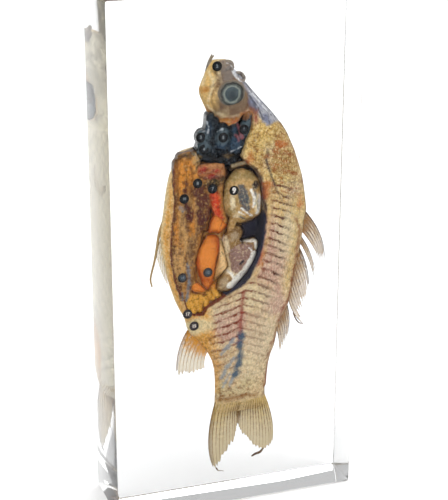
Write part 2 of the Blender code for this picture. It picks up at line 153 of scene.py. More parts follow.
light = bpy.data.lights.new("top lamp", "AREA")
light.shape = "SQUARE"
light.size = LAMP_SIZE
light.energy = LAMP_POWER
facing = (Vector(LAMP_TARGET) - Vector(LAMP_PLACE)).to_track_quat("-Z", "Y")
linked("top lamp", light).matrix_world = Matrix.Translation(LAMP_PLACE) @ facing.to_matrix().to_4x4()

# The fish's trunk: a preserved carp, head up, of soft flesh cast fast in the resin. Its near flank is
# skinned and cut open, and its far flank keeps its skin, gill cover and scales. Edges are (height, x) and
# stains and painted light (x, height), in millimetres, and a mark's place is where it shows from the front
# left.
BELLY_EDGE = (
    (175.4, -6.6), (174.6, -8.0), (173, -9.0), (170, -10.0), (167, -11.3), (165, -12.0), (163, -11.8),
    (161.5, -11.2), (158, -9.6), (155.5, -8.6), (152, -8.0), (147, -7.8), (144.2, -9.8), (143.2, -15),
    (142.8, -19.2), (140.5, -20.8), (137.5, -22), (134, -23.5), (130, -24.5), (125, -25.3), (120, -26),
    (115, -26.8), (111.5, -27.3), (106, -26.8), (101, -26), (98, -25.3), (94, -24.8), (89, -23.3),
    (84.5, -21.8), (80.5, -20), (78, -18.5), (75.5, -17.8), (73, -17.3), (70, -15.6), (66.5, -12.2),
    (61.5, -8.8), (58, -7.2), (54, -6.3), (50, -6), (45, -6), (40, -6.2), (37, -5.8), (35.2, -5.0),
)
BACK_EDGE = (
    (175.4, -2.2), (174.6, -0.2), (173.2, 0.8), (171.8, 1.0), (170.5, 3.0), (166.5, 6), (163.5, 8.5),
    (159.5, 12), (156, 15.3), (152.8, 18), (150, 20.3), (146.5, 22.5), (140, 25.5), (134, 27.5),
    (130, 28.8), (125, 29.8), (120, 30.5), (116, 31), (109.5, 29.8), (103.5, 29.2), (98, 28), (93, 27),
    (87, 25.8), (82.5, 25), (78, 24.2), (73, 21.4), (70, 20.2), (61.5, 18.5), (58, 17), (54, 16),
    (49, 15.5), (44.8, 15.3), (44.1, 14.7), (40, 14.8), (37, 14.9), (35.2, 14.2),
)
HALF_THICKNESS = (
    (175.4, 0.9), (174.4, 2.3), (172, 3.8), (169.6, 5.0), (164.6, 6.6), (161, 7.4), (157, 8.1),
    (152.5, 8.6), (147.5, 9.0), (143, 9.2), (139, 9.3), (134, 9.5), (126, 9.6), (118, 9.6), (111, 9.5),
    (104, 9.4), (97, 9.2), (90, 8.9), (83, 8.5), (77, 8.1), (72, 7.7), (66.5, 7.3), (61, 6.9), (54, 6.2),
    (47, 5.4), (42, 4.5), (39.4, 3.4), (37.2, 1.9), (36.2, 1.1), (35.2, 0.25),
)
TRUNK_RINGS = 340
NEAR_COLUMNS = 190
FAR_COLUMNS = 90
SECTION_FULLNESS = 0.56
BELLY_ROUNDING = 0.7
BACK_ROUNDING = 0.9
THICKNESS_ROUNDING = 2.0
EYE_PLACE = (-1.0, 163.5)
EYE_SOCKET_DEPTH = 1.3
EYE_RING_RADIUS = 5.1
FLESH_LUMPS = ((0.26, 7, 1), (0.1, 2.4, 2), (0.04, 0.9, 3))
CAVITY_FLOOR = 2.0
CAVITY_WALL = 1.5
RIM_HEIGHT = 0.35
OPENING = (
    (-17.4, 141.0), (-20, 138), (-21.3, 133), (-21.3, 128), (-21.6, 123), (-22.4, 115), (-23.1, 108),
    (-23.2, 103), (-22.4, 98), (-21.3, 94), (-19.9, 89), (-18.4, 85), (-17, 80.6), (-14, 77.6),
    (-10.6, 77.4), (-9, 80), (-5, 82.2), (-3, 83.2), (0, 84.6), (3, 86), (6, 88), (8.5, 90.5), (10.3, 94),
    (12.2, 98), (13.6, 103), (14.4, 108), (14.8, 113), (14.6, 118), (14.1, 122), (13.4, 127), (12, 131),
    (10, 133.8), (7, 136), (5.2, 138.5), (5.4, 141), (6.6, 144.5), (8.2, 147.5), (9.2, 150.5), (9, 153.5),
    (7.2, 155.2), (4.8, 154.4), (3.4, 152.4), (1.6, 151.2), (-1, 150.6), (-3.6, 151), (-6, 152.7),
    (-8.4, 155.4), (-11, 158), (-20, 158), (-20, 144.4), (-15.4, 143.4),
)
OPENING_RIGHT = OPENING[18:40]
OPENING_LEFT = OPENING[:18]
LATERAL_LINE = (
    (13.5, 118), (10, 92), (6.2, 85), (5.2, 80), (4.8, 75), (4.3, 70), (4.0, 65), (4.0, 60), (3.6, 55),
    (4, 40),
)
FLANK = (
    (-7, 77), (-4, 82), (12, 92), (16, 112), (17, 128), (29, 128), (31, 112), (24, 76), (17, 58), (14, 47),
    (-5, 47), (-8, 62),
)
HEAD_CREASES = (
    ((-6.5, 171.5), (-3.6, 168.2), (-4.6, 165.8)),
    ((-9.8, 165.2), (-6.4, 166), (-4, 168)),
    ((-5.4, 156.4), (-7.2, 160), (-6.6, 163.6), (-4.2, 167.4)),
    ((1.2, 168), (4.8, 166.4), (6.8, 162.8), (7.2, 159), (5.4, 155.4)),
)
SEGMENT_STEP = 3.05
SEGMENT_GROOVE = 0.42
GILL_COVER = ((9.6, 165), (13.5, 158), (13.2, 150.5), (9.6, 144.4), (3, 141.6), (-4, 143), (-7.5, 148))
TAIL_FOLD_HEIGHT = 40.6
STREAK_SLANT = -0.35
SCALE_ROW_SLANT = 0.785
TISSUE_ROUGHNESS = 0.45
TISSUE_SHINE = 0.1
SIGHT_SIDE = 0.2324
SIGHT_RISE = 0.3632
SIGHT_SPREAD = 0.00134
NOWHERE = -9.0


def along(table, heights, rounding):
    """Values from a table of (height, value), with its corners rounded over about that many millimetres."""
    known, values = np.array(sorted(table), float).T
    shifts = np.linspace(-1, 1, 9)
    rows = [np.interp(heights + shift * rounding, known, values) for shift in shifts]
    return np.average(rows, axis=0, weights=np.exp(-2 * shifts**2))


def trunk_section(heights):
    """The trunk's belly edge, back edge and half thickness at those heights."""
    low, high = along(BELLY_EDGE, heights, BELLY_ROUNDING), along(BACK_EDGE, heights, BACK_ROUNDING)
    return low, high, along(HALF_THICKNESS, heights, THICKNESS_ROUNDING)


def seen(x, y, z):
    """Where a point inside the block shows on the fish's middle plane, to an eye at the front left."""
    return x - y * (SIGHT_SIDE + SIGHT_SPREAD * x), z + y * (SIGHT_RISE - SIGHT_SPREAD * z)


def scattered(numbers):
    """Scattered values from 0 to 1, always the same for the same number."""
    wild = np.sin(numbers) * 43758.5453
    return wild - np.floor(wild)


def lumps(x, z, size, seed):
    """Smooth random relief from -1 to 1, with lumps of about that size in millimetres."""
    px, pz = x / size + seed * 17.31, z / size + seed * 31.73
    ix, iz = np.floor(px), np.floor(pz)
    fx, fz = px - ix, pz - iz
    fx, fz = fx * fx * (3 - 2 * fx), fz * fz * (3 - 2 * fz)

    def corner(a, b):
        return 2 * scattered((ix + a) * 127.1 + (iz + b) * 311.7) - 1

    low = corner(0, 0) * (1 - fx) + corner(1, 0) * fx
    high = corner(0, 1) * (1 - fx) + corner(1, 1) * fx
    return low * (1 - fz) + high * fz


def ease(value, start, end):
    """Rises smoothly from 0 at the start to 1 at the end."""
    t = np.clip((value - start) / (end - start), 0, 1)
    return t * t * (3 - 2 * t)


def near(u, v, line):
    """Millimetres to an open line."""
    best = np.full(np.shape(u), 1e9)
    for a, b in zip(np.array(line, float), np.array(line[1:], float)):
        edge = b - a
        t = np.clip(((u - a[0]) * edge[0] + (v - a[1]) * edge[1]) / (edge @ edge), 0, 1)
        best = np.minimum(best, np.hypot(u - a[0] - t * edge[0], v - a[1] - t * edge[1]))
    return best


def within(u, v, outline):
    """Millimetres to a closed outline, above nothing inside it."""
    inside = np.zeros(np.shape(u), bool)
    for a, b in zip(outline, outline[1:] + outline[:1]):
        if a[1] != b[1]:
            crossed = (a[1] > v) != (b[1] > v)
            inside ^= crossed & (u < (b[0] - a[0]) * (v - a[1]) / (b[1] - a[1]) + a[0])
    best = near(u, v, outline + outline[:1])
    return np.where(inside, best, -best)


def patch(u, v, areas=(), lines=(), spots=()):
    """A field above nothing in areas, along lines (half width, points) and in spots (x, height, radii)."""
    best = np.full(np.shape(u), -30.0)
    for outline in areas:
        best = np.maximum(best, within(u, v, outline))
    for half_width, *line in lines:
        best = np.maximum(best, half_width - near(u, v, line))
    for x, height, wide, tall in spots:
        best = np.maximum(best, (1 - np.hypot((u - x) / wide, (v - height) / tall)) * min(wide, tall))
    return best


def ring_faces(rings, sides):
    """The four-cornered faces between rings of points that follow one another, each a closed loop."""
    loop, begin = np.arange(sides), np.arange(rings - 1)[:, None] * sides
    after = (loop + 1) % sides
    rows = [begin + loop, begin + after, begin + sides + after, begin + sides + loop]
    return np.stack(rows, -1).reshape(-1, 4)


def capped_faces(rings, sides):
    """The faces of such rings, with both ends closed onto the two points that follow the last ring."""
    loop, last, hub = np.arange(sides), (rings - 1) * sides, rings * sides
    after = (loop + 1) % sides
    top = np.stack([np.full(sides, hub), after, loop, loop], -1)
    end = np.stack([np.full(sides, hub + 1), last + loop, last + after, last + after], -1)
    return np.vstack([ring_faces(rings, sides), top, end])


def keep_fields(mesh, fields):
    """Keeps each field as a value on every point of a mesh."""
    for key, values in fields.items():
        kept = mesh.attributes.new(key, "FLOAT", "POINT")
        kept.data.foreach_set("value", np.asarray(values, np.float32).ravel())


def closed_mesh(name, points, quads, fields):
    """An object from points in millimetres and four-cornered faces, turned to point out, and its fields."""
    points, quads = np.asarray(points, float), np.asarray(quads)
    a, b, c, d = (points[quads[:, k]] for k in range(4))
    if np.einsum("ij,ij->", a, np.cross(b, c) + np.cross(c, d)) < 0:
        quads = quads[:, ::-1]
    rows = [tuple(dict.fromkeys(row)) for row in quads.tolist()]
    mesh = bpy.data.meshes.new(name)
    mesh.from_pydata((points * MM).tolist(), [], rows)
    keep_fields(mesh, fields)
    mesh.shade_smooth()
    return linked(name, mesh)


heights = np.linspace(BELLY_EDGE[0][0], BELLY_EDGE[-1][0], TRUNK_RINGS)[:, None]
left, right, thick = trunk_section(heights)
even = np.linspace(-1, 1, NEAR_COLUMNS + 1)
across = 0.6 * even + 0.4 * np.sin(even * math.pi / 2)
even = np.linspace(1, -1, FAR_COLUMNS + 1)[1:-1]
across = np.concatenate([across, 0.5 * even + 0.5 * np.sin(even * math.pi / 2)])
near_side = np.arange(len(across)) <= NEAR_COLUMNS
across, near_side = (np.broadcast_to(row, (TRUNK_RINGS, len(across))) for row in (across, near_side))
out = np.where(near_side, -1.0, 1.0)
bulge = np.clip(1 - across**2, 0, 1)
x = (left + right) / 2 + (right - left) / 2 * across
z = heights + 0 * across
y = out * thick * bulge**SECTION_FULLNESS
u, v = seen(x, y, z)

# The muscle segments' lines run up to the lateral line and fall behind it
off = u - np.interp(v, *np.array(sorted((b, a) for a, b in LATERAL_LINE)).T)
bend = np.where(off < 0, 0.36 * off + 0.012 * off**2, -0.3 * off - 0.006 * off**2)
segment = (v - bend + 0.4 * lumps(u, v, 6, 4)) / SEGMENT_STEP
crease = np.exp(-(((segment - np.round(segment)) * SEGMENT_STEP / SEGMENT_GROOVE) ** 2))
flank = within(u, v, FLANK)
from_eye = np.hypot(x - EYE_PLACE[0], z - EYE_PLACE[1])
relief = sum(height * lumps(x, z, size, seed) for height, size, seed in FLESH_LUMPS)
relief -= 0.16 * crease * ease(flank, 0, 2)
relief -= EYE_SOCKET_DEPTH * ease(from_eye, 4.7, 3.6)
relief += 0.5 * np.exp(-(((from_eye - EYE_RING_RADIUS) / 0.7) ** 2))
for line in HEAD_CREASES:
    relief -= 0.3 * np.exp(-((near(u, v, line) / 0.5) ** 2))
tail_fold = v - TAIL_FOLD_HEIGHT - 0.5 * np.sin((u - 1) / 4)
relief -= 0.5 * np.exp(-((tail_fold / 0.8) ** 2)) * ease(u, -6, -3) * ease(u, 13, 10)
relief += np.where(near_side, 0, 0.6 * np.exp(-((near(x, z, GILL_COVER) / 0.9) ** 2)))
y = y + out * relief * bulge**0.5

# The near flank's opening: a rolled rim, a steep wall and the cavity's floor
opened = within(u, v, OPENING)
y = y - np.where(near_side, RIM_HEIGHT * np.exp(-(((opened + 0.9) / 0.8) ** 2)) * bulge**0.4, 0)
deep = np.where(near_side, ease(opened, 0, CAVITY_WALL), 0)
y = y * (1 - deep) + (CAVITY_FLOOR + 0.3 * lumps(x, z, 2, 6)) * deep
points = np.stack([x, y, z], -1)
points = np.vstack([points.reshape(-1, 3), points[0].mean(axis=0), points[-1].mean(axis=0)])


def on_trunk(values):
    """A field on the trunk's points, its two end points taking the mean of their rings."""
    values = np.broadcast_to(values, x.shape)
    return np.append(values.ravel(), [values[0].mean(), values[-1].mean()])


def on_near(values):
    """A field on the trunk's near side alone."""
    return on_trunk(np.where(near_side, values, NOWHERE))


def coloured_area(name, code, softness, wander, strength, **shapes):
    """An area of stain or of painted light or shade: its field, its colour, its edge's softness and wander,
    its strength, its shapes.
    """
    return name, code, softness, wander, strength, shapes


# Stains in the flesh lie under the muscle lines, and the skin's stains, painted highlights and painted
# shade lie over them
FLESH_STAINS = (
    coloured_area("pink", "BE8884", 2.0, 5.0, 0.7, spots=[(17, 100, 7, 16), (20, 124, 6, 6), (0, 72, 8, 8),
        (12, 66, 6, 9), (19, 80, 5, 8), (18, 134, 6, 3)]),
    coloured_area("cream", "E0CDA4", 2.0, 4.0, 0.7, spots=[(4, 44, 9, 3), (9, 82, 8, 5), (-6, 79, 8, 3),
        (10, 54, 7, 10), (13, 64, 7, 10), (13, 141, 6, 5), (23, 106, 5, 9)]),
    coloured_area("olive", "CFAC5C", 1.6, 3.0, 0.8, areas=[((24, 122), (26, 108), (24, 96), (22, 84), (23.6, 80),
        (26, 90), (28, 103), (31, 114), (30, 122))], spots=[(21, 132, 6, 10), (21, 146, 4, 6),
        (10, 143, 5, 8), (16, 147, 5, 5)]),
    coloured_area("dusk", "94703F", 1.6, 4.0, 0.35, spots=[(18, 123, 3.6, 7), (22, 134, 6, 7), (25, 123, 5, 6),
        (20, 146, 4, 5), (12, 134, 3, 4), (16, 139, 4, 3)]),
    coloured_area("bruise", "B8B07C", 1.6, 2.4, 0.4, spots=[(-3.6, 46, 2.6, 3.4), (7, 47, 3, 2.4),
        (1, 43, 6, 1.6)]),
    coloured_area("umber", "946A38", 1.6, 5.0, 0.35, spots=[(20, 137, 5, 8), (24, 130, 4, 10), (14, 139, 2.4, 3),
        (16, 126, 2, 6), (11, 133, 2, 3)]),
    coloured_area("amber", "DDB766", 1.2, 2.6, 0.7, spots=[(9.4, 141, 3.4, 7), (13, 148, 4.4, 3.4), (20, 120, 3, 8),
        (28.4, 119, 1.6, 3)], lines=[(1.2, (9, 139.4), (12.2, 134.6), (14.2, 130.4), (15.2, 126.6),
        (15.8, 121), (15.8, 115)), (0.5, (16.2, 118), (15.6, 108), (14.4, 100.6), (12.8, 95.4),
        (10.4, 91.4))]),
    coloured_area("gold", "E2A448", 1.4, 2.4, 0.9, areas=[((-18, 77), (-8, 81), (-7, 74), (-4.6, 66), (-3.4, 56),
        (-5, 44), (-9, 44), (-20, 68))], lines=[(1.8, (-20, 140), (-23, 128), (-24.4, 118), (-25.4, 110),
        (-24.8, 100), (-23.2, 92), (-20.4, 83), (-17.4, 77))]),
    coloured_area("pale", "EBD7A6", 0.9, 1.6, 0.9, lines=[(1.0, (-20.6, 142), (-24.2, 132), (-26, 120),
        (-27.6, 111), (-26.2, 100), (-24.4, 90), (-21.6, 82), (-18.6, 76))], spots=[(-13, 73, 7, 3.4)]),
)
SKIN_STAINS_AND_PAINTED_LIGHT = (
    # Brown cheek colour, darkened round the eye ring as painted shade
    coloured_area("cheek_and_eye_shade", "6E5646", 2.0, 2.4, 0.9, spots=[(3.6, 160, 6.4, 9), (-1, 169, 4.4, 5),
        (-4, 158.5, 5, 3.4)]),
    coloured_area("snout", "857A72", 1.0, 1.6, 0.8, spots=[(-1.4, 172.6, 3, 3.4), (-0.6, 168.6, 2.4, 3)]),
    coloured_area("jaw", "E4BC74", 1.6, 2.0, 0.9, areas=[((-13, 165), (-9, 175), (-6, 175), (-5.4, 171),
        (-6.4, 166), (-5, 161), (-6, 156), (-10, 157))]),
    coloured_area("gleam", "F0DCB0", 0.5, 0.9, 0.75, lines=[(0.2, (-7.6, 156.6), (-4.4, 154.6), (0, 153.8),
        (4, 154.6), (7, 156)), (0.12, (-7, 155), (-4.2, 152.6), (-1, 151.6)), (0.5, (-8.4, 171.4),
        (-6.4, 167.6), (-7.4, 164), (-8.4, 160.6)), (0.4, (-4.6, 170.6), (-3.6, 167.4)),
        (0.45, (-8.8, 158.8), (-6.4, 156.2), (-3, 154.9)), (0.35, (-10.6, 166.6), (-9.8, 170))]),
    # Painted shade: dark lines in the head's creases
    coloured_area("crease_shade", "6E4C34", 0.5, 0.8, 0.7, lines=[(0.35, *line) for line in (*HEAD_CREASES,
        ((-5.4, 154.2), (-1.6, 153.2), (2.4, 153.4)))]),
    coloured_area("margin", "C07C34", 0.6, 1.4, 0.95, lines=[(0.5, (-9.6, 158), (-7, 154.6), (-4.4, 152.4),
        (-1, 151.4), (1.8, 152.2), (4.4, 154.6)), (0.4, (-3.6, 153.4), (0.6, 152.8))],
        spots=[(-9.6, 164.6, 1.6, 1)]),
    coloured_area("silver", "B4B6BE", 0.5, 1.4, 0.95, areas=[((0.6, 171.4), (3, 168.4), (5.6, 165.6), (7, 161.6),
        (8.4, 158.6), (10.4, 155), (12.4, 152.2), (14.6, 149.8), (17.6, 151), (20.4, 151), (18, 156),
        (10, 166), (3, 173))]),
    coloured_area("violet", "676E8C", 0.8, 1.6, 0.75, lines=[(1.0, (8.4, 159.6), (10.4, 155.6)),
        (1.1, (13.6, 153.6), (15.2, 150.6))], spots=[(12.2, 158.6, 0.8, 2)]),
    coloured_area("sheen", "F0F1F2", 0.3, 0.6, 0.8, lines=[(0.3, (0.4, 172.8), (0.9, 170.8), (2.4, 168.4),
        (4.2, 167)), (0.2, (-1.4, 174), (0.2, 173.8), (0.9, 172.6)), (0.25, (7.6, 163.2), (11.6, 158.8),
        (15.4, 154)), (0.2, (3.6, 169.6), (6, 166.4))]),
    coloured_area("slash", "36363E", 0.3, 0.8, 0.8, lines=[(0.2, (4.4, 167.6), (9, 162.8), (14, 157.4),
        (19.4, 151.6)), (0.25, (7.4, 161.4), (10.6, 157.2), (13, 152.4))]),
    # Painted shadow: a dark band along the near side's back edge, at the dorsal fin's base
    coloured_area("back_edge_shadow", "6A4A2C", 0.5, 0.9, 0.75),
    coloured_area("rind", "3C2E36", 0.5, 1.4, 0.9, lines=[(0.3, (14.6, 136.6), (15.6, 133), (17, 129), (18.6, 125),
        (20.4, 121)), (0.25, (14.4, 141), (15.4, 138)), (0.4, (6.4, 137), (9.8, 133.8), (12, 130.4),
        (13.4, 126), (14.2, 121), (14.6, 114), (14.4, 108))]),
    coloured_area("rusty", "8C4C2A", 0.5, 1.4, 0.7, lines=[(0.5, (26.4, 113), (28.6, 108), (28, 103), (27.4, 98),
        (26.6, 93), (25.6, 87), (24.6, 81), (22, 75), (20, 70), (18, 62), (16.2, 55), (15.2, 47),
        (14.6, 44.6)), (0.3, (14.6, 138.4), (19.6, 138.6), (25, 137.8)), (0.3, (17.6, 132.2), (22, 132.2),
        (26, 129.6)), (0.3, (-8.4, 157), (-5.6, 154.9), (-2, 153.9), (2, 153.8), (5, 155), (8.4, 156.6))],
        spots=[(9.4, 155, 1.8, 1.8), (8.2, 150.8, 0.8, 2.4)]),
    coloured_area("ember", "BC5E2A", 0.6, 1.8, 0.65, lines=[(0.3, (-5.6, 153.4), (-3.4, 152), (-1, 151.3)),
        (0.4, (1.2, 151.7), (4.4, 153.6))], spots=[(14.8, 126.8, 2, 1.5), (14.4, 123.4, 1.4, 2.4),
        (13, 98.4, 0.9, 3), (7.6, 137.6, 1.2, 2.4), (28.4, 118.4, 1, 2.4), (20.4, 142.4, 2.2, 1.6)]),
    coloured_area("red", "98443A", 0.6, 1.5, 0.75, lines=[(0.8, (6, 84.5), (5.2, 80), (4.8, 75), (4.4, 70),
        (4.2, 64.5)), (0.15, (12.4, 99), (11.4, 95), (10, 92)), (0.3, (0.6, 152), (2.4, 152.2),
        (4.4, 153.4))], spots=[(10.2, 152.4, 0.9, 2.2)]),
    coloured_area("ash", "8F9DA6", 0.5, 1.6, 0.75, lines=[(0.8, (1.8, 57.5), (-1, 54), (-2.8, 50.6)),
        (0.6, (0.6, 52), (-2.6, 46.4)), (0.7, (1.6, 50), (0.6, 47)), (0.5, (0.6, 63), (-3.4, 60)),
        (0.6, (2, 66), (-2, 62))]),
    coloured_area("blue", "3C5A72", 0.9, 2.4, 0.9, lines=[(1.25, (4.6, 64), (4.4, 60), (3.8, 55.5), (3, 52),
        (2.2, 50.6)), (0.6, (4.2, 68), (4.6, 64))], spots=[(5, 66, 1, 2)]),
    coloured_area("root", "D2B682", 0.8, 0.8, 0.85),
    coloured_area("fold", "8E5C28", 0.7, 0.8, 0.8, lines=[(0.7, (-4, 41.2), (-1, 40.4), (3, 40.8), (7, 41.2),
        (11, 40.4))]),
    coloured_area("wine", "6E2418", 0.25, 0.5, 0.9),
    coloured_area("navy", "38394C", 0.3, 0.5, 1.0),
)
STREAKED = (
    (8, 143), (14, 141), (20, 145), (25, 140), (28, 128), (29, 122), (22, 121), (17, 126), (14, 134),
)
fields = {name: on_near(patch(u, v, **shapes)) for name, *_, shapes in FLESH_STAINS + SKIN_STAINS_AND_PAINTED_LIGHT}
edge_drop = (1 - across) * (right - left) / 2
cut_side = near(u, v, OPENING_RIGHT) < near(u, v, OPENING_LEFT)
# The painted shadow's band along the back edge, up to a height of 151 mm
fields["back_edge_shadow"] = on_near(np.where(v < 151, 0.7 - edge_drop, -5))
fields["root"] = on_near(39.6 - v - 0.4 * np.sin((u - 1) / 3))
fields["navy"] = on_near(np.where(cut_side, opened + 0.1 - 0.65 * ease(v, 112, 118), -5))
fields["wine"] = on_near(np.where(near(u, v, OPENING_LEFT) < 2.2, 0.55 - abs(opened - 0.2), -5))
fields["streaked"] = on_near(within(u, v, STREAKED))
fields["flank"] = on_near(flank)
fields["far"] = on_trunk(np.where(near_side, 0.0, 1.0))
fields["back"] = on_trunk(across)
fields["segment"] = on_trunk(segment)
fields["off"] = on_trunk(off)
fields["height"] = on_trunk(v)
fish_body = closed_mesh("fish_body", points, capped_faces(*x.shape), fields)


def place_in_mm(tree):
    """The piece's own coordinates, in millimetres."""
    place = node(tree, "ShaderNodeTexCoord").outputs["Object"]
    return node(tree, "ShaderNodeVectorMath", {0: place, "Scale": 1000.0}, operation="SCALE").outputs[0]


def clouds(place, size, detail=3.0, stretch=None):
    """Cloudy values round a half, with features of that size in millimetres, drawn out along any axis."""
    tree = place.id_data
    if stretch:
        place = node(tree, "ShaderNodeVectorMath", {0: place, 1: stretch}, operation="MULTIPLY").outputs[0]
    inputs = {"Vector": place, "Scale": 1 / size, "Detail": detail, "Roughness": 0.6}
    return node(tree, "ShaderNodeTexNoise", inputs).outputs["Fac"]


def turned(place, angle):
    """Coordinates turned about the axis that runs from front to back."""
    inputs = {"Vector": place, "Angle": angle}
    return node(place.id_data, "ShaderNodeVectorRotate", inputs, rotation_type="Y_AXIS").outputs[0]


def painted(tree, field):
    """A field kept on the piece's points."""
    return node(tree, "ShaderNodeAttribute", attribute_name=field).outputs["Fac"]


def laid_over(under, over, share, kind="MIX"):
    """One colour laid over another in some share."""
    inputs = {0: share, 6: under, 7: over}
    return node(share.id_data, "ShaderNodeMix", inputs, data_type="RGBA", blend_type=kind).outputs[2]


def stains_and_light_laid(paint, stains_and_light, drift):
    """A paint with stains and painted light laid over it in turn, each where its field and the drift are
    above nothing.
    """
    for name, code, softness, wander, strength, _ in stains_and_light:
        moved = sum_of(painted(paint.id_data, name), span(drift, 0.25, 0.75, -wander / 2, wander / 2))
        paint = laid_over(paint, code, span(moved, -softness, softness, 0, strength))
    return paint


def brightened(paint, light):
    """A paint made darker or lighter by a value round one."""
    return node(light.id_data, "ShaderNodeHueSaturation", {"Color": paint, "Value": light}).outputs[0]


def finished(shader, paint, roughness, relief, depth, strength=1.0):
    """Gives a shader its colour, its roughness, and its relief of some depth in metres."""
    inputs = {"Height": relief, "Distance": depth, "Strength": strength}
    bump = node(shader.id_data, "ShaderNodeBump", inputs).outputs[0]
    for key, value in (("Base Color", paint), ("Roughness", roughness), ("Normal", bump)):
        shader.id_data.links.new(value, shader.inputs[key])


def tissue_paint(name):
    """A new material for what lies in the resin, with its tree, shader and coordinates."""
    made = bpy.data.materials.new(name)
    made.use_nodes = True
    shader = made.node_tree.nodes["Principled BSDF"]
    shader.inputs["Roughness"].default_value = TISSUE_ROUGHNESS
    shader.inputs["Specular IOR Level"].default_value = TISSUE_SHINE
    return made, made.node_tree, shader, place_in_mm(made.node_tree)


FLESH_LIGHT = "DCC494"
FLESH_DARK = "CDA87A"
FIBRE_GRAIN_AND_SHEEN = "F2E6C6"
SPECK_BROWN = "8A5C2E"
SPECK_PALE = "F6E8BC"
SPECK_RUST = "7C4A26"
STREAK_RUST = "A4562A"
STREAK_PALE = "F0D892"
FLECK_PALE = "F4E2A6"
FLECK_DARK = "3E2A1C"
LINE_RED = "7E3C28"
LINE_GREY = "43352C"
SKIN_BELLY = "F0E8CC"
SKIN_BACK = "857A58"
SCALE_MIDDLE_SHEEN = "F0E4BC"
SCALE_EDGE = "5C4C30"
SKIN_CLOUD = "6E6656"
SKIN_GLINT = "E8DFC0"
SILVER_STREAK = "5C5C68"
body_paint, tree, shader, place = tissue_paint("fish flesh")
wide = clouds(place, 9.0, 2.0)
medium = clouds(place, 2.6, 4.0)
fine = clouds(place, 0.8, 3.0)
fibres = clouds(place, 0.55, 3.0, (1.0, 1.0, 0.22))
specks = clouds(place, 1.2, 5.0)
flank_field, off_line, up = (painted(tree, field) for field in ("flank", "off", "height"))
paint = laid_over(FLESH_LIGHT, FLESH_DARK, span(wide, 0.35, 0.65))
paint = stains_and_light_laid(paint, FLESH_STAINS, medium)
streaks = span(fibres, 0.35, 0.7)
# Pale streaks along the muscle fibres: their grain, lightened as a painted sheen
paint = laid_over(paint, FIBRE_GRAIN_AND_SHEEN, times(streaks, 0.45, span(flank_field, -1, 2)))
on_flank = span(flank_field, -2, 3)
on_wall = span(painted(tree, "pale"), -3, 0, 1.0, 0.3)
speckled = times(span(wide, 0.35, 0.6, 0.35, 0.8), span(on_flank, 0, 1, 1.0, 0.45), on_wall)
paint = laid_over(paint, SPECK_BROWN, times(span(specks, 0.52, 0.64), speckled))
paint = laid_over(paint, SPECK_PALE, times(span(specks, 0.46, 0.36), 0.35))
paint = laid_over(paint, SPECK_RUST, times(span(medium, 0.53, 0.66), speckled, 0.9))
slanted = clouds(turned(place, STREAK_SLANT), 1.5, 4.0, (0.3, 0.6, 1.3))
flecks = clouds(place, 0.75, 3.0)
streaked = span(painted(tree, "streaked"), -3, 2)
paint = laid_over(paint, STREAK_RUST, times(span(slanted, 0.53, 0.64), streaked, 0.75))
paint = laid_over(paint, STREAK_PALE, times(span(slanted, 0.46, 0.36), streaked, 0.6))
shoulder = span(up, 112, 128)
paint = laid_over(paint, FLECK_PALE, times(span(flecks, 0.46, 0.34), shoulder, 0.7))
paint = laid_over(paint, FLECK_DARK, times(span(flecks, 0.57, 0.66), speckled, shoulder, 0.85))
phase = sum_of(painted(tree, "segment"), 0.5, span(medium, 0.3, 0.7, -0.16, 0.16))
phase = node(tree, "ShaderNodeMath", {0: phase}, operation="FRACT").outputs[0]
from_line = reckoned("SUBTRACT", phase, 0.5)
from_line = node(tree, "ShaderNodeMath", {0: from_line}, operation="ABSOLUTE").outputs[0]
ragged = sum_of(from_line, span(specks, 0.3, 0.7, -0.12, 0.12))
line_share = times(
    span(ragged, 0.22, 0.07),
    span(flank_field, -0.5, 1.5),
    span(medium, 0.36, 0.5, 0.3, 1.0),
    span(wide, 0.4, 0.6, 1.0, 0.75),
    span(off_line, 9.5, 13, 1.0, 0.2),
    sum_of(1.0, times(span(off_line, 0.5, 3), span(up, 88, 76), -0.5)),
    span(up, 50, 66, 0.25, 1.0),
)
line_paint = laid_over(LINE_RED, LINE_GREY, span(off_line, 3, 12))
paint = laid_over(paint, line_paint, line_share)
hide = clouds(place, 1.1, 4.0, (1.0, 1.0, 0.4))
paint = stains_and_light_laid(paint, SKIN_STAINS_AND_PAINTED_LIGHT, medium)
level = node(tree, "ShaderNodeVectorMath", {0: place, 1: (1.0, 0.0, 0.8)}, operation="MULTIPLY").outputs[0]
scale_inputs = {"Vector": turned(level, SCALE_ROW_SLANT), "Scale": 0.36, "Randomness": 0.3}
scales = node(tree, "ShaderNodeTexVoronoi", scale_inputs, feature="DISTANCE_TO_EDGE").outputs["Distance"]
skin = laid_over(SKIN_BELLY, SKIN_BACK, span(painted(tree, "back"), -0.8, 0.9))
scaled = span(up, 155, 149)
# Painted sheen: each scale lighter towards its middle
skin = laid_over(skin, SCALE_MIDDLE_SHEEN, times(span(scales, 0.14, 0.4), scaled, 0.5))
scale_edge = sum_of(scales, span(fine, 0.3, 0.7, -0.05, 0.05))
skin = laid_over(skin, SCALE_EDGE, times(span(scale_edge, 0.12, 0.0), scaled, 0.6))
skin = laid_over(skin, SKIN_CLOUD, span(sum_of(medium, scaled), 0.65, 0.35, 0, 0.6))
skin = laid_over(skin, SKIN_GLINT, span(fine, 0.5, 0.75, 0, 0.4))
paint = laid_over(paint, skin, painted(tree, "far"))
dark_streak = times(span(hide, 0.5, 0.62), span(painted(tree, "silver"), -1, 0.5), 0.8)
paint = laid_over(paint, SILVER_STREAK, dark_streak)
mottle = span(fine, 0.28, 0.72, 0.7, 1.2)
paint = brightened(paint, mottle)
height = sum_of(times(fibres, 0.5), times(medium, 0.6), times(line_share, -0.5))
finished(shader, paint, span(medium, 0.3, 0.7, 0.35, 0.6), height, 0.0005, 0.6)
fish_body.data.materials.append(body_paint)
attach(fish_body, "root")
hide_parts("fish")

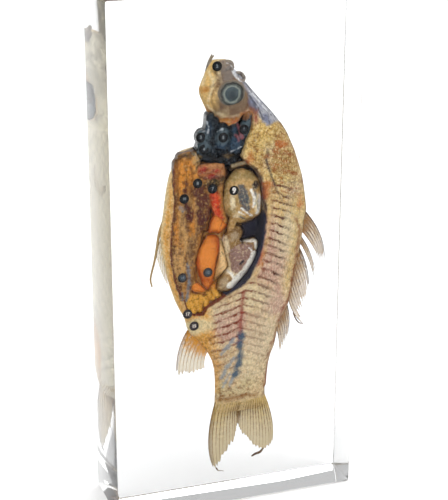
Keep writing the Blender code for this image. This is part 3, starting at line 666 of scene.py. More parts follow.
# The lips, the jaw's broken tip, the nostril's rim and the pelvic spine: small horny rods grown from the
# trunk, each a tapering strand with closed round ends, through points of (x, height, depth, radius).
ROD_SIDES = 14
ROD_STEPS = 8
LIP = ((-3.6, 173.0, -0.4, 0.9), (-1.6, 174.1, -0.6, 1.15), (0.2, 173.7, -0.4, 1.0), (1.1, 172.2, 0, 0.6))
LIP_FOLD = ((-2.8, 171.6, -3.2, 0.6), (-1.2, 172.6, -3.0, 0.7), (0.2, 171.8, -2.4, 0.5))
JAW_SPIKE = ((-8.4, 171.4, 0, 1.2), (-7.9, 174.2, 0, 0.9), (-7.4, 176.1, 0, 0.5), (-7.0, 177.2, 0, 0.3))
JAW_BARB = ((-7.2, 175.8, 0, 0.35), (-6.5, 176.6, 0, 0.3), (-6.2, 177.0, 0, 0.2))
NOSTRIL_RIM = (
    (1.4, 169.2, -2.2, 0.6), (2.2, 170.4, -2.0, 0.6), (3.8, 170.0, -1.4, 0.7), (5.0, 168.4, -1.4, 0.7),
    (4.4, 167.4, -2.4, 0.5), (2.9, 168.0, -3.0, 0.5), (1.4, 169.2, -2.6, 0.4),
)
PELVIC_SPINE = (
    (-25.6, 117, 0, 0.7), (-27.5, 112, 0, 0.6), (-28.6, 106, 0, 0.5), (-29.6, 101, 0, 0.45),
    (-30.8, 96.5, 0, 0.4), (-31.2, 94, 0, 0.36), (-30.7, 91.4, 0, 0.3),
)
HORN_LIGHT = "A79C92"
HORN_DARK = "6E6660"
SPINE_BROWN = "A98E60"
JAW_TIP_BROWN = "8C7F6A"


def curve_through(points, steps):
    """Places on a smooth curve through the points, with any number of values in each."""
    rows = np.array(points, float)
    rows = np.vstack([2 * rows[0] - rows[1], rows, 2 * rows[-1] - rows[-2]])
    made = []
    for a, b, c, d in zip(rows, rows[1:], rows[2:], rows[3:]):
        for t in np.arange(steps) / steps:
            bent = 2 * a - 5 * b + 4 * c - d + t * (3 * b - a - 3 * c + d)
            made.append(b + 0.5 * t * (c - a + t * bent))
    return np.array(made + [rows[-2]])


def rod(line):
    """Points and faces of a round strand through (x, height, depth, radius), with closed ends."""
    path = curve_through(line, ROD_STEPS)
    places, radii = path[:, (0, 2, 1)], np.maximum(path[:, 3], 0.05)
    ahead = np.gradient(places, axis=0)
    ahead /= np.linalg.norm(ahead, axis=1)[:, None]
    across = np.cross(ahead, (0, 1, 0))
    across /= np.linalg.norm(across, axis=1)[:, None]
    over = np.cross(across, ahead)
    turns = 2 * math.pi * np.arange(ROD_SIDES) / ROD_SIDES

    def round_end(k, t):
        size = max(radii[k] * math.sqrt(1 - t * t), 0.02)
        return places[k] + ahead[k] * (t * radii[k]), across[k], over[k], size

    rings = [round_end(0, t) for t in (-1.0, -0.7, 0.0)]
    rings += list(zip(places[1:-1], across[1:-1], over[1:-1], radii[1:-1]))
    rings += [round_end(-1, t) for t in (0.0, 0.7, 1.0)]
    points = [c + r * (a * math.cos(k) + o * math.sin(k)) for c, a, o, r in rings for k in turns]
    points = np.array([*points, points[0], points[-1]])
    return points, capped_faces(len(rings), ROD_SIDES)


def joined(shells):
    """Several shells of points and faces as one."""
    points, quads, count = [], [], 0
    for some, rows in shells:
        points.append(some)
        quads.append(rows + count)
        count += len(some)
    return np.vstack(points), np.vstack(quads)


RODS = (LIP, LIP_FOLD, JAW_SPIKE, JAW_BARB, NOSTRIL_RIM, PELVIC_SPINE)
points, quads = joined([rod(line) for line in RODS])
fields = {"low": ease(points[:, 2], 130, 120), "tip": ease(points[:, 2], 173.4, 176)}
mouth_parts = closed_mesh("mouth_and_spine", points, quads, fields)
horn_paint, tree, shader, place = tissue_paint("horny skin")
paint = laid_over(HORN_LIGHT, HORN_DARK, span(clouds(place, 1.4), 0.35, 0.65))
paint = laid_over(paint, SPINE_BROWN, painted(tree, "low"))
paint = laid_over(paint, JAW_TIP_BROWN, painted(tree, "tip"))
grain = clouds(place, 0.5)
finished(shader, paint, span(grain, 0.3, 0.7, 0.35, 0.6), grain, 0.0002)
mouth_parts.data.materials.append(horn_paint)
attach(mouth_parts, "root")
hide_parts("fish")

# The eyes: a cloudy lens in a silvery iris, in a dark socket ring, one on each side of the head. Each is
# turned as one profile of (radius, rise) round its axis, and sits in its socket in the trunk.
EYE_DEPTH = 6.4
EYE_PROFILE = (
    (0.0, 1.75), (0.8, 1.68), (1.5, 1.45), (2.0, 1.1), (2.25, 0.8), (2.45, 0.72), (3.1, 0.78), (3.7, 0.66),
    (3.95, 0.5), (4.2, 0.72), (4.6, 0.86), (5.0, 0.6), (5.25, 0.0), (5.2, -0.9), (0.0, -1.0),
)
EYE_SIDES = 64
PUPIL_COLOUR = "363F45"
EYE_RINGS = (
    ("505C60", 0.7, 2.0), ("8A928A", 2.5, 2.85), ("575C59", 3.1, 3.45), ("3C3D3B", 3.7, 4.0),
    ("706A60", 4.2, 4.6), ("84725E", 4.8, 5.2),
)
profile = curve_through(EYE_PROFILE[:-1], 4)
profile[:, 0] = np.maximum(profile[:, 0], 0)
profile = np.vstack([profile, EYE_PROFILE[-1:]])
turns = 2 * math.pi * np.arange(EYE_SIDES) / EYE_SIDES
radius, rise = profile[:, :1], profile[:, 1:]
eye_faces = ring_faces(len(profile), EYE_SIDES)
shells = []
for out, faces in ((-1, eye_faces), (1, eye_faces[:, ::-1])):
    wobble = 1 + 0.02 * np.sin(3 * turns) + 0.015 * np.sin(7 * turns + out)
    ex = EYE_PLACE[0] + radius * wobble * np.cos(turns)
    ez = EYE_PLACE[1] + radius * wobble * np.sin(turns)
    ey = out * (EYE_DEPTH + rise + 0 * turns)
    shells.append((np.stack([ex, ey, ez], -1).reshape(-1, 3), faces))
points, quads = joined(shells)
eyes = closed_mesh("eyes", points, quads, {"radius": np.tile(radius + 0 * turns, (2, 1))})
eye_paint, tree, shader, place = tissue_paint("eye")
radius = sum_of(painted(tree, "radius"), span(clouds(place, 1.2), 0.3, 0.7, -0.25, 0.25))
paint = PUPIL_COLOUR
for code, start, end in EYE_RINGS:
    paint = laid_over(paint, code, span(radius, start, end))
finished(shader, paint, span(radius, 2.0, 4.0, 0.12, 0.4), clouds(place, 0.5), 0.0001)
eyes.data.materials.append(eye_paint)
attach(eyes, "root")
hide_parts("fish")

# The fins: thin webs stiffened by bony rays, ragged at their tips, that grow from the fish's edges. Each
# web is a closed thin sheet, and a node tree sweeps its rays as tapering jointed tubes. A guide is a ray's
# root, middle and tip, as (x, height).
WEB_HALF_THICKNESS = 0.06
RAY_TIP_SHARE = 0.3
RAY_SIDES = 6
SHORTEST_RAY = 0.07
JOINT_TURN = 60
JOINT_SWELL = 0.1
WEB_RIPPLE = 0.12
FIN_ROWS = 28
GAP_COLUMNS = 6
STALK_END = (30.0, 35.4)
ROOT_SINK = (42.5, 39.6)
DORSAL_FRONT = (
    ((28.6, 117), (37, 104.8), (38.9, 93)),
    ((28.4, 112.5), (35.2, 103.5), (38.1, 92.4)),
    ((28, 108.5), (33.4, 101.4), (37, 94)),
)
DORSAL_TUFT = (((27.8, 106.5), (32.6, 98.6), (35.7, 88.8)), ((27.6, 104), (31.8, 96.6), (35, 87.2)))
DORSAL_MIDDLE = (
    ((27.2, 102.5), (31.3, 93.4), (33, 83.2)),
    ((26.2, 97.5), (30, 88.6), (31.9, 80)),
    ((25.2, 93), (28.3, 84.4), (30.5, 76.4)),
    ((24.4, 88), (26.9, 80.2), (29.4, 73.9)),
    ((23.8, 84.5), (25.7, 75.4), (30.7, 68.5)),
)
DORSAL_REAR = (
    ((22.8, 80), (24.7, 72.6), (24.3, 64.4)),
    ((21.6, 77), (23.5, 69.4), (23.2, 61.8)),
    ((19.8, 73.5), (22.2, 66.4), (21.9, 59.2)),
    ((18.6, 70.5), (20.5, 63.4), (20.5, 56)),
)
TAIL_LEFT = (
    ((-4.9, 43), (-8.6, 25), (-6.5, 11.4)), ((-3.2, 43), (-5.7, 26), (-4.9, 10.1)),
    ((-1.2, 43), (-2.9, 27), (-2.9, 15.2)), ((0.6, 43), (-0.3, 30), (-0.4, 18)),
    ((2.2, 43), (1.6, 32), (2, 21.6)), ((3.4, 43), (3, 34.5), (2.8, 26.4)),
    ((4.2, 43), (3.7, 35.5), (3.3, 29.4)),
)
TAIL_RIGHT = (
    ((4.3, 43), (3.9, 35.5), (3.5, 29.4)), ((5, 43), (4.6, 34), (4.7, 25.2)),
    ((6.6, 43), (6.6, 32), (6.6, 23.2)), ((8.2, 43), (8.9, 30), (8.6, 20.6)),
    ((10, 43), (11.3, 28.5), (11.1, 16.6)), ((11.6, 43), (13.8, 27.5), (13.9, 15)),
    ((12.8, 43), (16.1, 28.5), (16.8, 17)), ((13.6, 43), (18.0, 29), (18.1, 18)),
)
ANAL = (
    ((-14.4, 75), (-19.9, 66), (-21.6, 54.2)),
    ((-12.6, 72), (-17.4, 63.6), (-19.2, 52.5)),
    ((-10.8, 69.5), (-15, 62), (-16.2, 53.7)),
    ((-9, 67), (-12.6, 60.4), (-13, 54.1)),
    ((-7.6, 64), (-10, 60), (-10.2, 55)),
)
PELVIC = (
    ((-25.2, 114), (-28.1, 106.5), (-28.5, 101.4)),
    ((-24.8, 111), (-27.3, 102.5), (-26.9, 96.4)),
    ((-24.4, 108), (-26.4, 99.4), (-25.3, 92.2)),
    ((-24, 105), (-25.2, 96.6), (-23.8, 89.8)),
)
PECTORAL = (
    ((-10.6, 141.4), (-9.8, 130), (-11.4, 119.4)),
    ((-12.4, 141.6), (-13.4, 128.4), (-16.2, 117.2)),
    ((-14.2, 140.8), (-17.4, 130.2), (-19.6, 121.8)),
)


def ray_tree():
    """A node tree that sweeps a tapering jointed tube along each line of a mesh."""
    tree = bpy.data.node_groups.new("fin rays", "GeometryNodeTree")
    face = tree.interface
    face.new_socket("Lines", in_out="INPUT", socket_type="NodeSocketGeometry")
    wanted = {}
    for name, kind in (("Ray radius", "Float"), ("Tip share", "Float"), ("Paint", "Material")):
        wanted[name] = face.new_socket(name, in_out="INPUT", socket_type="NodeSocket" + kind).identifier
    face.new_socket("Rays", in_out="OUTPUT", socket_type="NodeSocketGeometry")
    given = node(tree, "NodeGroupInput").outputs
    curves = node(tree, "GeometryNodeMeshToCurve", {"Mesh": given["Lines"]}).outputs["Curve"]
    reach = node(tree, "GeometryNodeSplineParameter").outputs["Factor"]
    taper = {"Value": reach, "To Min": 1.0, "To Max": given["Tip share"]}
    share = node(tree, "ShaderNodeMapRange", taper).outputs[0]
    kept = node(tree, "GeometryNodeInputNamedAttribute", {"Name": "joint"}, data_type="FLOAT")
    size = times(share, given["Ray radius"], kept.outputs["Attribute"])
    round_ray = {"Resolution": RAY_SIDES, "Radius": 1.0}
    ring = node(tree, "GeometryNodeCurvePrimitiveCircle", round_ray).outputs["Curve"]
    tube = {"Curve": curves, "Profile Curve": ring, "Scale": size, "Fill Caps": True}
    swept = node(tree, "GeometryNodeCurveToMesh", tube).outputs["Mesh"]
    smooth = node(tree, "GeometryNodeSetShadeSmooth", {"Geometry": swept}).outputs["Geometry"]
    real = node(tree, "GeometryNodeRealizeInstances", {"Geometry": smooth}).outputs["Geometry"]
    done = node(tree, "GeometryNodeSetMaterial", {"Geometry": real, "Material": given["Paint"]})
    node(tree, "NodeGroupOutput", {"Rays": done.outputs["Geometry"]})
    return tree, wanted


RAY_TREE, RAY_INPUTS = ray_tree()


def swept_rays(lines, fields, radius, paint):
    """The rays of a fin as one mesh, from the lines that they follow."""
    count = lines.shape[1]
    edges = [(a * count + b, a * count + b + 1) for a in range(len(lines)) for b in range(count - 1)]
    mesh = bpy.data.meshes.new("rays")
    mesh.from_pydata((lines.reshape(-1, 3) * MM).tolist(), edges, [])
    keep_fields(mesh, fields)
    holder = linked("rays", mesh)
    step = holder.modifiers.new("rays", "NODES")
    step.node_group = RAY_TREE
    step[RAY_INPUTS["Ray radius"]] = radius * MM
    step[RAY_INPUTS["Tip share"]] = RAY_TIP_SHARE
    step[RAY_INPUTS["Paint"]] = paint
    graph = bpy.context.evaluated_depsgraph_get()
    final = holder.evaluated_get(graph)
    made = bpy.data.meshes.new_from_object(final, preserve_all_data_layers=True, depsgraph=graph)
    holder.modifiers.remove(step)
    bpy.data.objects.remove(holder)
    return made


def trunk_depth(x, z):
    """How far the trunk's surface lies from its middle plane at those places."""
    low, high, thick = trunk_section(z)
    part = np.clip((2 * x - low - high) / (high - low), -1, 1)
    return thick * (1 - part**2) ** SECTION_FULLNESS


def web_faces(columns):
    """The faces of a fin's web: its front, its back and the narrow edge all round."""
    base = columns * FIN_ROWS
    start, row = np.arange(columns - 1)[:, None] * FIN_ROWS, np.arange(FIN_ROWS - 1)[None, :]
    i, j = start + row, start + FIN_ROWS + row
    front = np.stack([i, j, j + 1, i + 1], -1).reshape(-1, 4)
    edge = [*range(FIN_ROWS), *(k * FIN_ROWS + FIN_ROWS - 1 for k in range(1, columns))]
    edge += [(columns - 1) * FIN_ROWS + k for k in range(FIN_ROWS - 2, -1, -1)]
    edge = np.array(edge + [k * FIN_ROWS for k in range(columns - 2, 0, -1)])
    after = np.roll(edge, -1)
    return np.vstack([front, front[:, ::-1] + base, np.stack([edge, after, base + after, base + edge], -1)])


def all_fields(groups):
    """The fields of several groups of points as one."""
    return {key: np.concatenate([some[key].ravel() for some in groups]) for key in groups[0]}


def fin(name, groups, paint, radius, depths=((0, 0), (0, 0)), ragged=0.14, sway=0.35, on_stalk=False):
    """A fin from groups of (guides, ray count): a ragged web, with a ray at every sixth column.

    On the tail's stalk each ray is split at its root, and its two halves lie on the stalk's two sides.
    """
    shells, web_fields, ray_lines, ray_fields = [], [], [], []
    seed = sum(ord(letter) for letter in name)
    for number, (guides, rays) in enumerate(groups):
        guides = np.array(guides, float)
        columns = (rays - 1) * GAP_COLUMNS + 1
        place = np.linspace(0, len(guides) - 1, columns)
        root, middle, tip = (
            np.stack([np.interp(place, range(len(guides)), guides[:, k, axis]) for axis in (0, 1)], -1)
            for k in range(3)
        )
        handle = 2 * middle - (root + tip) / 2
        share = place / (len(guides) - 1)
        ray_number = np.round(share * (rays - 1))
        in_gap = np.abs(np.sin(math.pi * share * (rays - 1)))
        full = 1 - SHORTEST_RAY * scattered((ray_number + 1) * 12.9898 + seed + number)
        torn = lumps(share * rays * 1.7, share * 0, 1, seed + number)
        stop = full - ragged * in_gap * (0.55 + 0.45 * torn)
        t = stop[:, None] * np.linspace(0, 1, FIN_ROWS)[None, :]
        w = t[..., None]
        flat = root[:, None] * (1 - w) ** 2 + handle[:, None] * 2 * w * (1 - w) + tip[:, None] * w**2
        root_depth, tip_depth = (np.interp(share, (0, 1), ends)[:, None] for ends in zip(*depths))
        depth = root_depth * (1 - t) + tip_depth * t
        depth = depth + sway * t * np.sin(6.0 * share + number)[:, None]
        depth = depth + WEB_RIPPLE * t * lumps(flat[..., 0], flat[..., 1], 1.6, 3)
        grid = np.stack([flat[..., 0], depth, flat[..., 1]], -1)
        sheets = [grid + (0, side * WEB_HALF_THICKNESS, 0) for side in (-1, 1)]
        shells.append((np.concatenate(sheets).reshape(-1, 3), web_faces(columns)))
        facts = {"reach": t, "ray": 1 - in_gap[:, None] + 0 * t, "share": share[:, None] + 0 * t}
        web_fields += [facts, facts]
        on_ray = slice(0, None, GAP_COLUMNS)
        facts = {key: values[on_ray] for key, values in facts.items()}
        facts["ray"] = 1 + 0 * facts["ray"]
        joints = np.sin(facts["reach"] * JOINT_TURN + ray_number[on_ray][:, None])
        facts["joint"] = 1 + JOINT_SWELL * joints
        for side in (-1, 1) if on_stalk else (0,):
            line = grid[on_ray].copy()
            spread = trunk_depth(line[..., 0], line[..., 2]) * ease(line[..., 2], *STALK_END)
            line[..., 1] += side * spread * ease(line[..., 2], *ROOT_SINK)
            ray_lines.append(line)
            ray_fields.append(facts)
    points, quads = joined(shells)
    made = closed_mesh(name, points, quads, all_fields(web_fields))
    made.data.materials.append(paint)
    rays = swept_rays(np.concatenate(ray_lines), all_fields(ray_fields), radius, paint)
    form = bmesh.new()
    form.from_mesh(made.data)
    form.from_mesh(rays)
    form.to_mesh(made.data)
    form.free()
    bpy.data.meshes.remove(rays)
    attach(made, "root")
    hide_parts("fish")


def fin_paint(name, web, ray, base, edge, clear, base_reach=0.25):
    """A fin's paint: the colours of its web, rays, root and leading edge, and how clear its tips are."""
    made, tree, shader, place = tissue_paint(name)
    cloudy = clouds(place, 1.8)
    streaks = clouds(place, 0.5)
    reach, on_ray, share = (painted(tree, key) for key in ("reach", "ray", "share"))
    shade = span(on_ray, 0.75, 0.98)
    paint = laid_over(web, ray, times(shade, span(cloudy, 0.3, 0.6, 0.6, 1.0)))
    root_share = sum_of(reach, span(cloudy, 0.3, 0.7, -0.12, 0.12))
    paint = laid_over(paint, base, span(root_share, base_reach + 0.15, base_reach - 0.15))
    paint = laid_over(paint, edge, times(span(share, 0.12, 0.0), 0.8))
    paint = brightened(paint, span(streaks, 0.25, 0.75, 0.85, 1.12))
    finished(shader, paint, span(cloudy, 0.3, 0.7, 0.35, 0.55), streaks, 0.0002)
    web_alpha = span(sum_of(reach, span(cloudy, 0.3, 0.7, -0.2, 0.2)), 0.05, 0.6, 1.0, clear)
    ray_alpha = span(reach, 0.6, 1.0, 1.0, 0.85)
    alphas = {0: shade, 2: web_alpha, 3: ray_alpha}
    alpha = node(tree, "ShaderNodeMix", alphas, data_type="FLOAT").outputs[0]
    tree.links.new(alpha, shader.inputs["Alpha"])
    return made


dorsal_paint = fin_paint(
    "dorsal fin skin", web="D4BA94", ray="624630", base="A07444", edge="4E3626", clear=0.44
)
tail_paint = fin_paint(
    "tail fin skin", web="E0CC9C", ray="84602F", base="D4B464", edge="7E5E34", clear=0.65, base_reach=0.2
)
anal_paint = fin_paint(
    "anal fin skin", web="EADAB4", ray="A07840", base="DC9C38", edge="8E6434", clear=0.45, base_reach=0.45
)
pelvic_paint = fin_paint(
    "pelvic fin skin", web="EADDBC", ray="A88C58", base="E0BE7A", edge="A08858", clear=0.4
)
DORSAL = ((DORSAL_FRONT, 6), (DORSAL_TUFT, 3), (DORSAL_MIDDLE, 11), (DORSAL_REAR, 7))
fin("dorsal_fin", DORSAL, dorsal_paint, 0.22, ragged=0.3)
fin("tail_fin", ((TAIL_LEFT, 12), (TAIL_RIGHT, 15)), tail_paint, 0.26, ragged=0.07, on_stalk=True)
fin("anal_fin", ((ANAL, 9),), anal_paint, 0.22, ragged=0.08)
fin("pelvic_fin", ((PELVIC, 6),), pelvic_paint, 0.18)
fin("pectoral_fin", ((PECTORAL, 9),), pelvic_paint, 0.2, ((6.6, 8.6), (5.2, 6.7)), sway=0.0)
TAIL_CURL = ((14.4, 16.8, 0, 0.4), (13, 15.3, 0, 0.55), (11.2, 14.9, -0.1, 0.5), (9.6, 14.2, -0.2, 0.35))
TAIL_THREAD = ((-5.4, 11.2, 0, 0.35), (-4.6, 10.0, 0, 0.2), (-3.4, 9.8, 0, 0.14), (-2.3, 9.4, 0, 0.1))
DORSAL_CURL = (
    (26.4, 73.6, 0, 0.3), (27.6, 70.8, 0.1, 0.28), (29, 69.1, 0.2, 0.24), (30.8, 68.5, 0.3, 0.15),
)
points, quads = joined([rod(line) for line in (TAIL_CURL, TAIL_THREAD, DORSAL_CURL)])
facts = {"reach": 0.9 + 0 * points[:, 0], "ray": 1 + 0 * points[:, 0], "share": 0.5 + 0 * points[:, 0]}
fin_ends = closed_mesh("fin_ends", points, quads, facts)
fin_ends.data.materials.append(dorsal_paint)
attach(fin_ends, "root")
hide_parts("fish")

# The gills: dark blue-black arches and filaments, wet and lumpy, packed between the head's cut margin and
# the belly wall. Like all the organs here, they are one soft piece that lies in the cavity, and its front
# is worked from strands and pads that run together.
GRID_STEP = 0.3
STRAND_BLEND = 0.35
EDGE_SLOPE = 6.0
GRID_MARGIN = 5.0
STRAND_STEPS = 5
STRAND_DEPTH = 1.15
PAD_STEPS = 4
EDGE_WANDER = 0.25
COAT_ROUGHNESS = 0.12
ORGAN_BACK = 1.2
RIM_SHIFT = 0.1
RIM_INSET = 0.05


def behind(u, v, depth):
    """The place at that depth which shows at (u, v) on the fish's middle plane. It turns seen() round."""
    share = 1 - SIGHT_SPREAD * depth
    return (u + SIGHT_SIDE * depth) / share, (v - SIGHT_RISE * depth) / share


def strand_front(u, v, front, half_width, line):
    """The depth of a round strand's front, and how far across it each place lies."""
    part = near(u, v, curve_through(line, STRAND_STEPS)) / half_width
    depth = STRAND_DEPTH * half_width
    rise = np.sqrt(np.clip(1 - part**2, 0, 1))
    wall = front + depth + EDGE_SLOPE * half_width * (part - 1)
    return np.where(part < 1, front + depth * (1 - rise), wall), part


def pad_front(u, v, front, thickness, roll, outline):
    """The depth of a flat pad's front, with rolled edges, and how near its edge each place lies."""
    path = curve_through([*outline, outline[0]], PAD_STEPS)[:-1]
    inner = within(u, v, [tuple(p) for p in path])
    part = 1 - np.clip(inner / roll, 0, 1)
    rise = np.sqrt(np.clip(1 - part**2, 0, 1))
    depth = np.where(inner > 0, front + thickness * (1 - rise), front + thickness - EDGE_SLOPE * inner)
    return depth, np.where(inner > 0, part, 1 - inner)


def organ(name, replaced, paint, stains_and_light, strands, pads=(), *, relief, grain, seed):
    """A closed piece of soft tissue, whose front follows the strand or pad that is nearest at each point.

    A strand is its front's depth, its half width and its points. A pad is its front's depth, its
    thickness, the width of its rolled edge and its outline. Places are as they show on the middle plane.
    """
    marks = [p for _, _, line in strands for p in line] + [p for *_, outline in pads for p in outline]
    low, high = np.min(marks, axis=0) - GRID_MARGIN, np.max(marks, axis=0) + GRID_MARGIN
    u, v = np.meshgrid(np.arange(low[0], high[0], GRID_STEP), np.arange(low[1], high[1], GRID_STEP))
    places = u + EDGE_WANDER * lumps(u, v, 1.7, seed + 5), v + EDGE_WANDER * lumps(v, u, 1.9, seed + 6)
    made = [strand_front(*places, *strand) for strand in strands]
    made += [pad_front(*places, *pad) for pad in pads]
    fronts, crossings = np.array([front for front, _ in made]), np.array([part for _, part in made])
    nearest, first = fronts.argmin(axis=0), fronts.min(axis=0)
    depth = -STRAND_BLEND * np.log(np.exp(-(fronts - first) / STRAND_BLEND).sum(axis=0)) + first
    depth = depth - relief * (lumps(u, v, grain, seed) + 0.5 * lumps(u, v, grain * 0.45, seed + 1))
    part = np.take_along_axis(crossings, nearest[None], 0)[0]
    kept = depth < ORGAN_BACK
    cells = kept[:-1, :-1] & kept[1:, :-1] & kept[:-1, 1:] & kept[1:, 1:]
    used = np.zeros(kept.shape, bool)
    for a in (slice(None, -1), slice(1, None)):
        for b in (slice(None, -1), slice(1, None)):
            used[a, b] |= cells
    number = np.cumsum(used.ravel()).reshape(used.shape) - 1
    total = int(used.sum())
    faces = np.stack([number[:-1, :-1], number[:-1, 1:], number[1:, 1:], number[1:, :-1]], -1)[cells]
    edges = {tuple(e) for e in np.concatenate([faces[:, (k, (k + 1) % 4)] for k in range(4)]).tolist()}
    rim = np.array([(a, b) for a, b in edges if (b, a) not in edges])
    wall = np.stack([rim[:, 1], rim[:, 0], rim[:, 0] + total, rim[:, 1] + total], -1)
    down_v, down_u = np.gradient(depth, GRID_STEP)
    u, v, depth, part, nearest, down_u, down_v = (
        values[used] for values in (u, v, depth, part, nearest, down_u, down_v)
    )
    on_rim = np.unique(rim)
    slope = np.maximum(down_u[on_rim] ** 2 + down_v[on_rim] ** 2, 1.0)
    short = np.clip((ORGAN_BACK - depth[on_rim]) / slope, -RIM_SHIFT, RIM_SHIFT)
    u[on_rim] += short * down_u[on_rim]
    v[on_rim] += short * down_v[on_rim]
    depth[on_rim] = ORGAN_BACK - RIM_INSET
    back = np.full(total, ORGAN_BACK)
    sheets = [(behind(u, v, some), some) for some in (depth, back)]
    points = np.concatenate([np.stack([x, some, z], -1) for (x, z), some in sheets])
    fields = {name: patch(u, v, **shapes) for name, *_, shapes in stains_and_light}
    fields["across"] = part
    fields["tint"] = np.modf(np.abs(np.sin(nearest * 7.31 + seed) * 91.7))[0]
    fields = {key: np.tile(values, 2) for key, values in fields.items()}
    piece = closed_mesh(name, points, np.vstack([faces, faces[:, ::-1] + total, wall]), fields)
    piece.data.materials.append(paint)
    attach(piece, "root")
    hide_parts(replaced)


def organ_paint(name, dark, light, pale, stains_and_light, wet, mottle=0.6, rough=(0.25, 0.5), bump=0.0004):
    """A soft tissue's paint: two tones by strand, stains and painted light over one another, specks, and
    painted shade in the creases.
    """
    made, tree, shader, place = tissue_paint(name)
    medium, fine, specks = clouds(place, 2.2, 4.0), clouds(place, 0.6, 3.0), clouds(place, 1.0, 5.0)
    mixed = sum_of(times(painted(tree, "tint"), 0.75), times(medium, 0.9), -0.3)
    paint = laid_over(dark, light, span(mixed, 0.15, 0.75))
    paint = stains_and_light_laid(paint, stains_and_light, medium)
    paint = laid_over(paint, dark, times(span(specks, 0.53, 0.64), mottle))
    paint = laid_over(paint, pale, times(span(specks, 0.46, 0.35), mottle, 0.7))
    # Painted shade: darker where strands meet and where pads roll away at their edges
    crease = span(sum_of(painted(tree, "across"), span(fine, 0.2, 0.8, -0.2, 0.2)), 0.8, 1.15)
    paint = laid_over(paint, dark, times(crease, 0.7), "MULTIPLY")
    paint = brightened(paint, span(fine, 0.25, 0.75, 0.8, 1.2))
    finished(shader, paint, span(medium, 0.3, 0.7, *rough), sum_of(times(fine, 0.5), medium), bump)
    shader.inputs["Coat Weight"].default_value = wet
    shader.inputs["Coat Roughness"].default_value = COAT_ROUGHNESS
    return made


GILL_STRANDS = (
    (-7.2, 1.6, ((-7.8, 154.4), (-8, 151.5), (-8.8, 147.8), (-9.2, 143))),
    (-6.3, 2.1, ((-10.9, 147.8), (-10.6, 146.8))),
    (-6.7, 2.4, ((-10.9, 143.4), (-10.4, 142.4))),
    (-8.2, 1.9, ((-6.0, 152.4), (-6.8, 147), (-6.4, 141.6))),
    (-8.7, 2.6, ((-2.6, 149.8), (-2.9, 146), (-2.4, 141.6))),
    (-8.5, 2.1, ((1.6, 150.0), (2.0, 145.5), (1.4, 141.2))),
    (-8.5, 2.3, ((7.2, 154.2), (6.2, 150.6), (4.6, 145.6), (3.2, 141.4))),
    (-6.8, 1.8, ((-11.6, 140.6), (-6.6, 138.8), (-1, 138.0), (3.2, 138.2))),
    (-6.2, 1.2, ((-4, 136.9), (0, 136.4), (2.6, 136.8))),
)
GILL_STAINS_AND_HIGHLIGHTS = (
    coloured_area("bright", "2A4258", 0.8, 1.8, 0.85, spots=[(1.6, 143.6, 2.6, 3.2), (-2.6, 144, 2.4, 1.6),
        (2, 149, 1.4, 1.4), (-8.6, 150.4, 1, 2)]),
    coloured_area("grey", "3C4A52", 0.4, 1.6, 0.6, spots=[(7, 148.4, 1.6, 3.4), (-2.6, 146.6, 2.6, 2.3),
        (7.6, 153.4, 1.5, 1.8), (-11, 147.4, 1.8, 1.4)]),
    # Painted highlight: lighter rims round lumps of the gills
    coloured_area("ring", "55666E", 0.5, 0.9, 0.75, spots=[(-2.7, 146.8, 3.1, 3.2), (6.3, 149.6, 2.9, 3),
        (-11, 147.4, 2.7, 2.7), (-10, 143, 2.6, 2.4)]),
    # Painted highlight: glints along the lumps' edges
    coloured_area("glint", "C3CCD2", 0.2, 1.2, 0.85, lines=[(0.22, (-9.2, 153), (-8.2, 150.8), (-8.8, 148.8)),
        (0.2, (-12.6, 148.6), (-10, 149.4)), (0.25, (-13.2, 145), (-12.8, 143.2)), (0.08, (0.4, 140.9),
        (2.4, 141.4), (4.4, 142.4)), (0.08, (5.4, 142.8), (5.8, 144.6)), (0.1, (-5, 148.8), (-3, 149.8))]),
    coloured_area("rosy", "A05A60", 0.4, 1.4, 0.8, lines=[(0.6, (3, 151), (3.6, 148.6), (4.6, 146)),
        (0.4, (2.4, 147), (3.4, 145))]),
    coloured_area("brown", "7A6238", 0.5, 1.2, 0.8, spots=[(-0.4, 139.4, 1.8, 0.8), (-12.4, 139.6, 1.2, 1)]),
    coloured_area("black", "07080A", 0.6, 0.8, 0.9, lines=[(0.8, (-10, 140.8), (-5, 139), (-1, 137.4)),
        (1.6, (1.4, 138), (4, 138.6))]),
    coloured_area("tissue", "8A5A30", 0.6, 1.6, 0.9, spots=[(8.2, 156, 2.2, 2.2), (9.4, 152, 1, 2),
        (6, 154.2, 1.6, 1.8)]),
)
gill_paint = organ_paint(
    "gill tissue", dark="080B11", light="17212B", pale="5C6C76", stains_and_light=GILL_STAINS_AND_HIGHLIGHTS,
    rough=(0.1, 0.4), wet=0.1
)
organ("gill_arches", "gills", gill_paint, GILL_STAINS_AND_HIGHLIGHTS, GILL_STRANDS, relief=0.25, grain=1.3, seed=3)

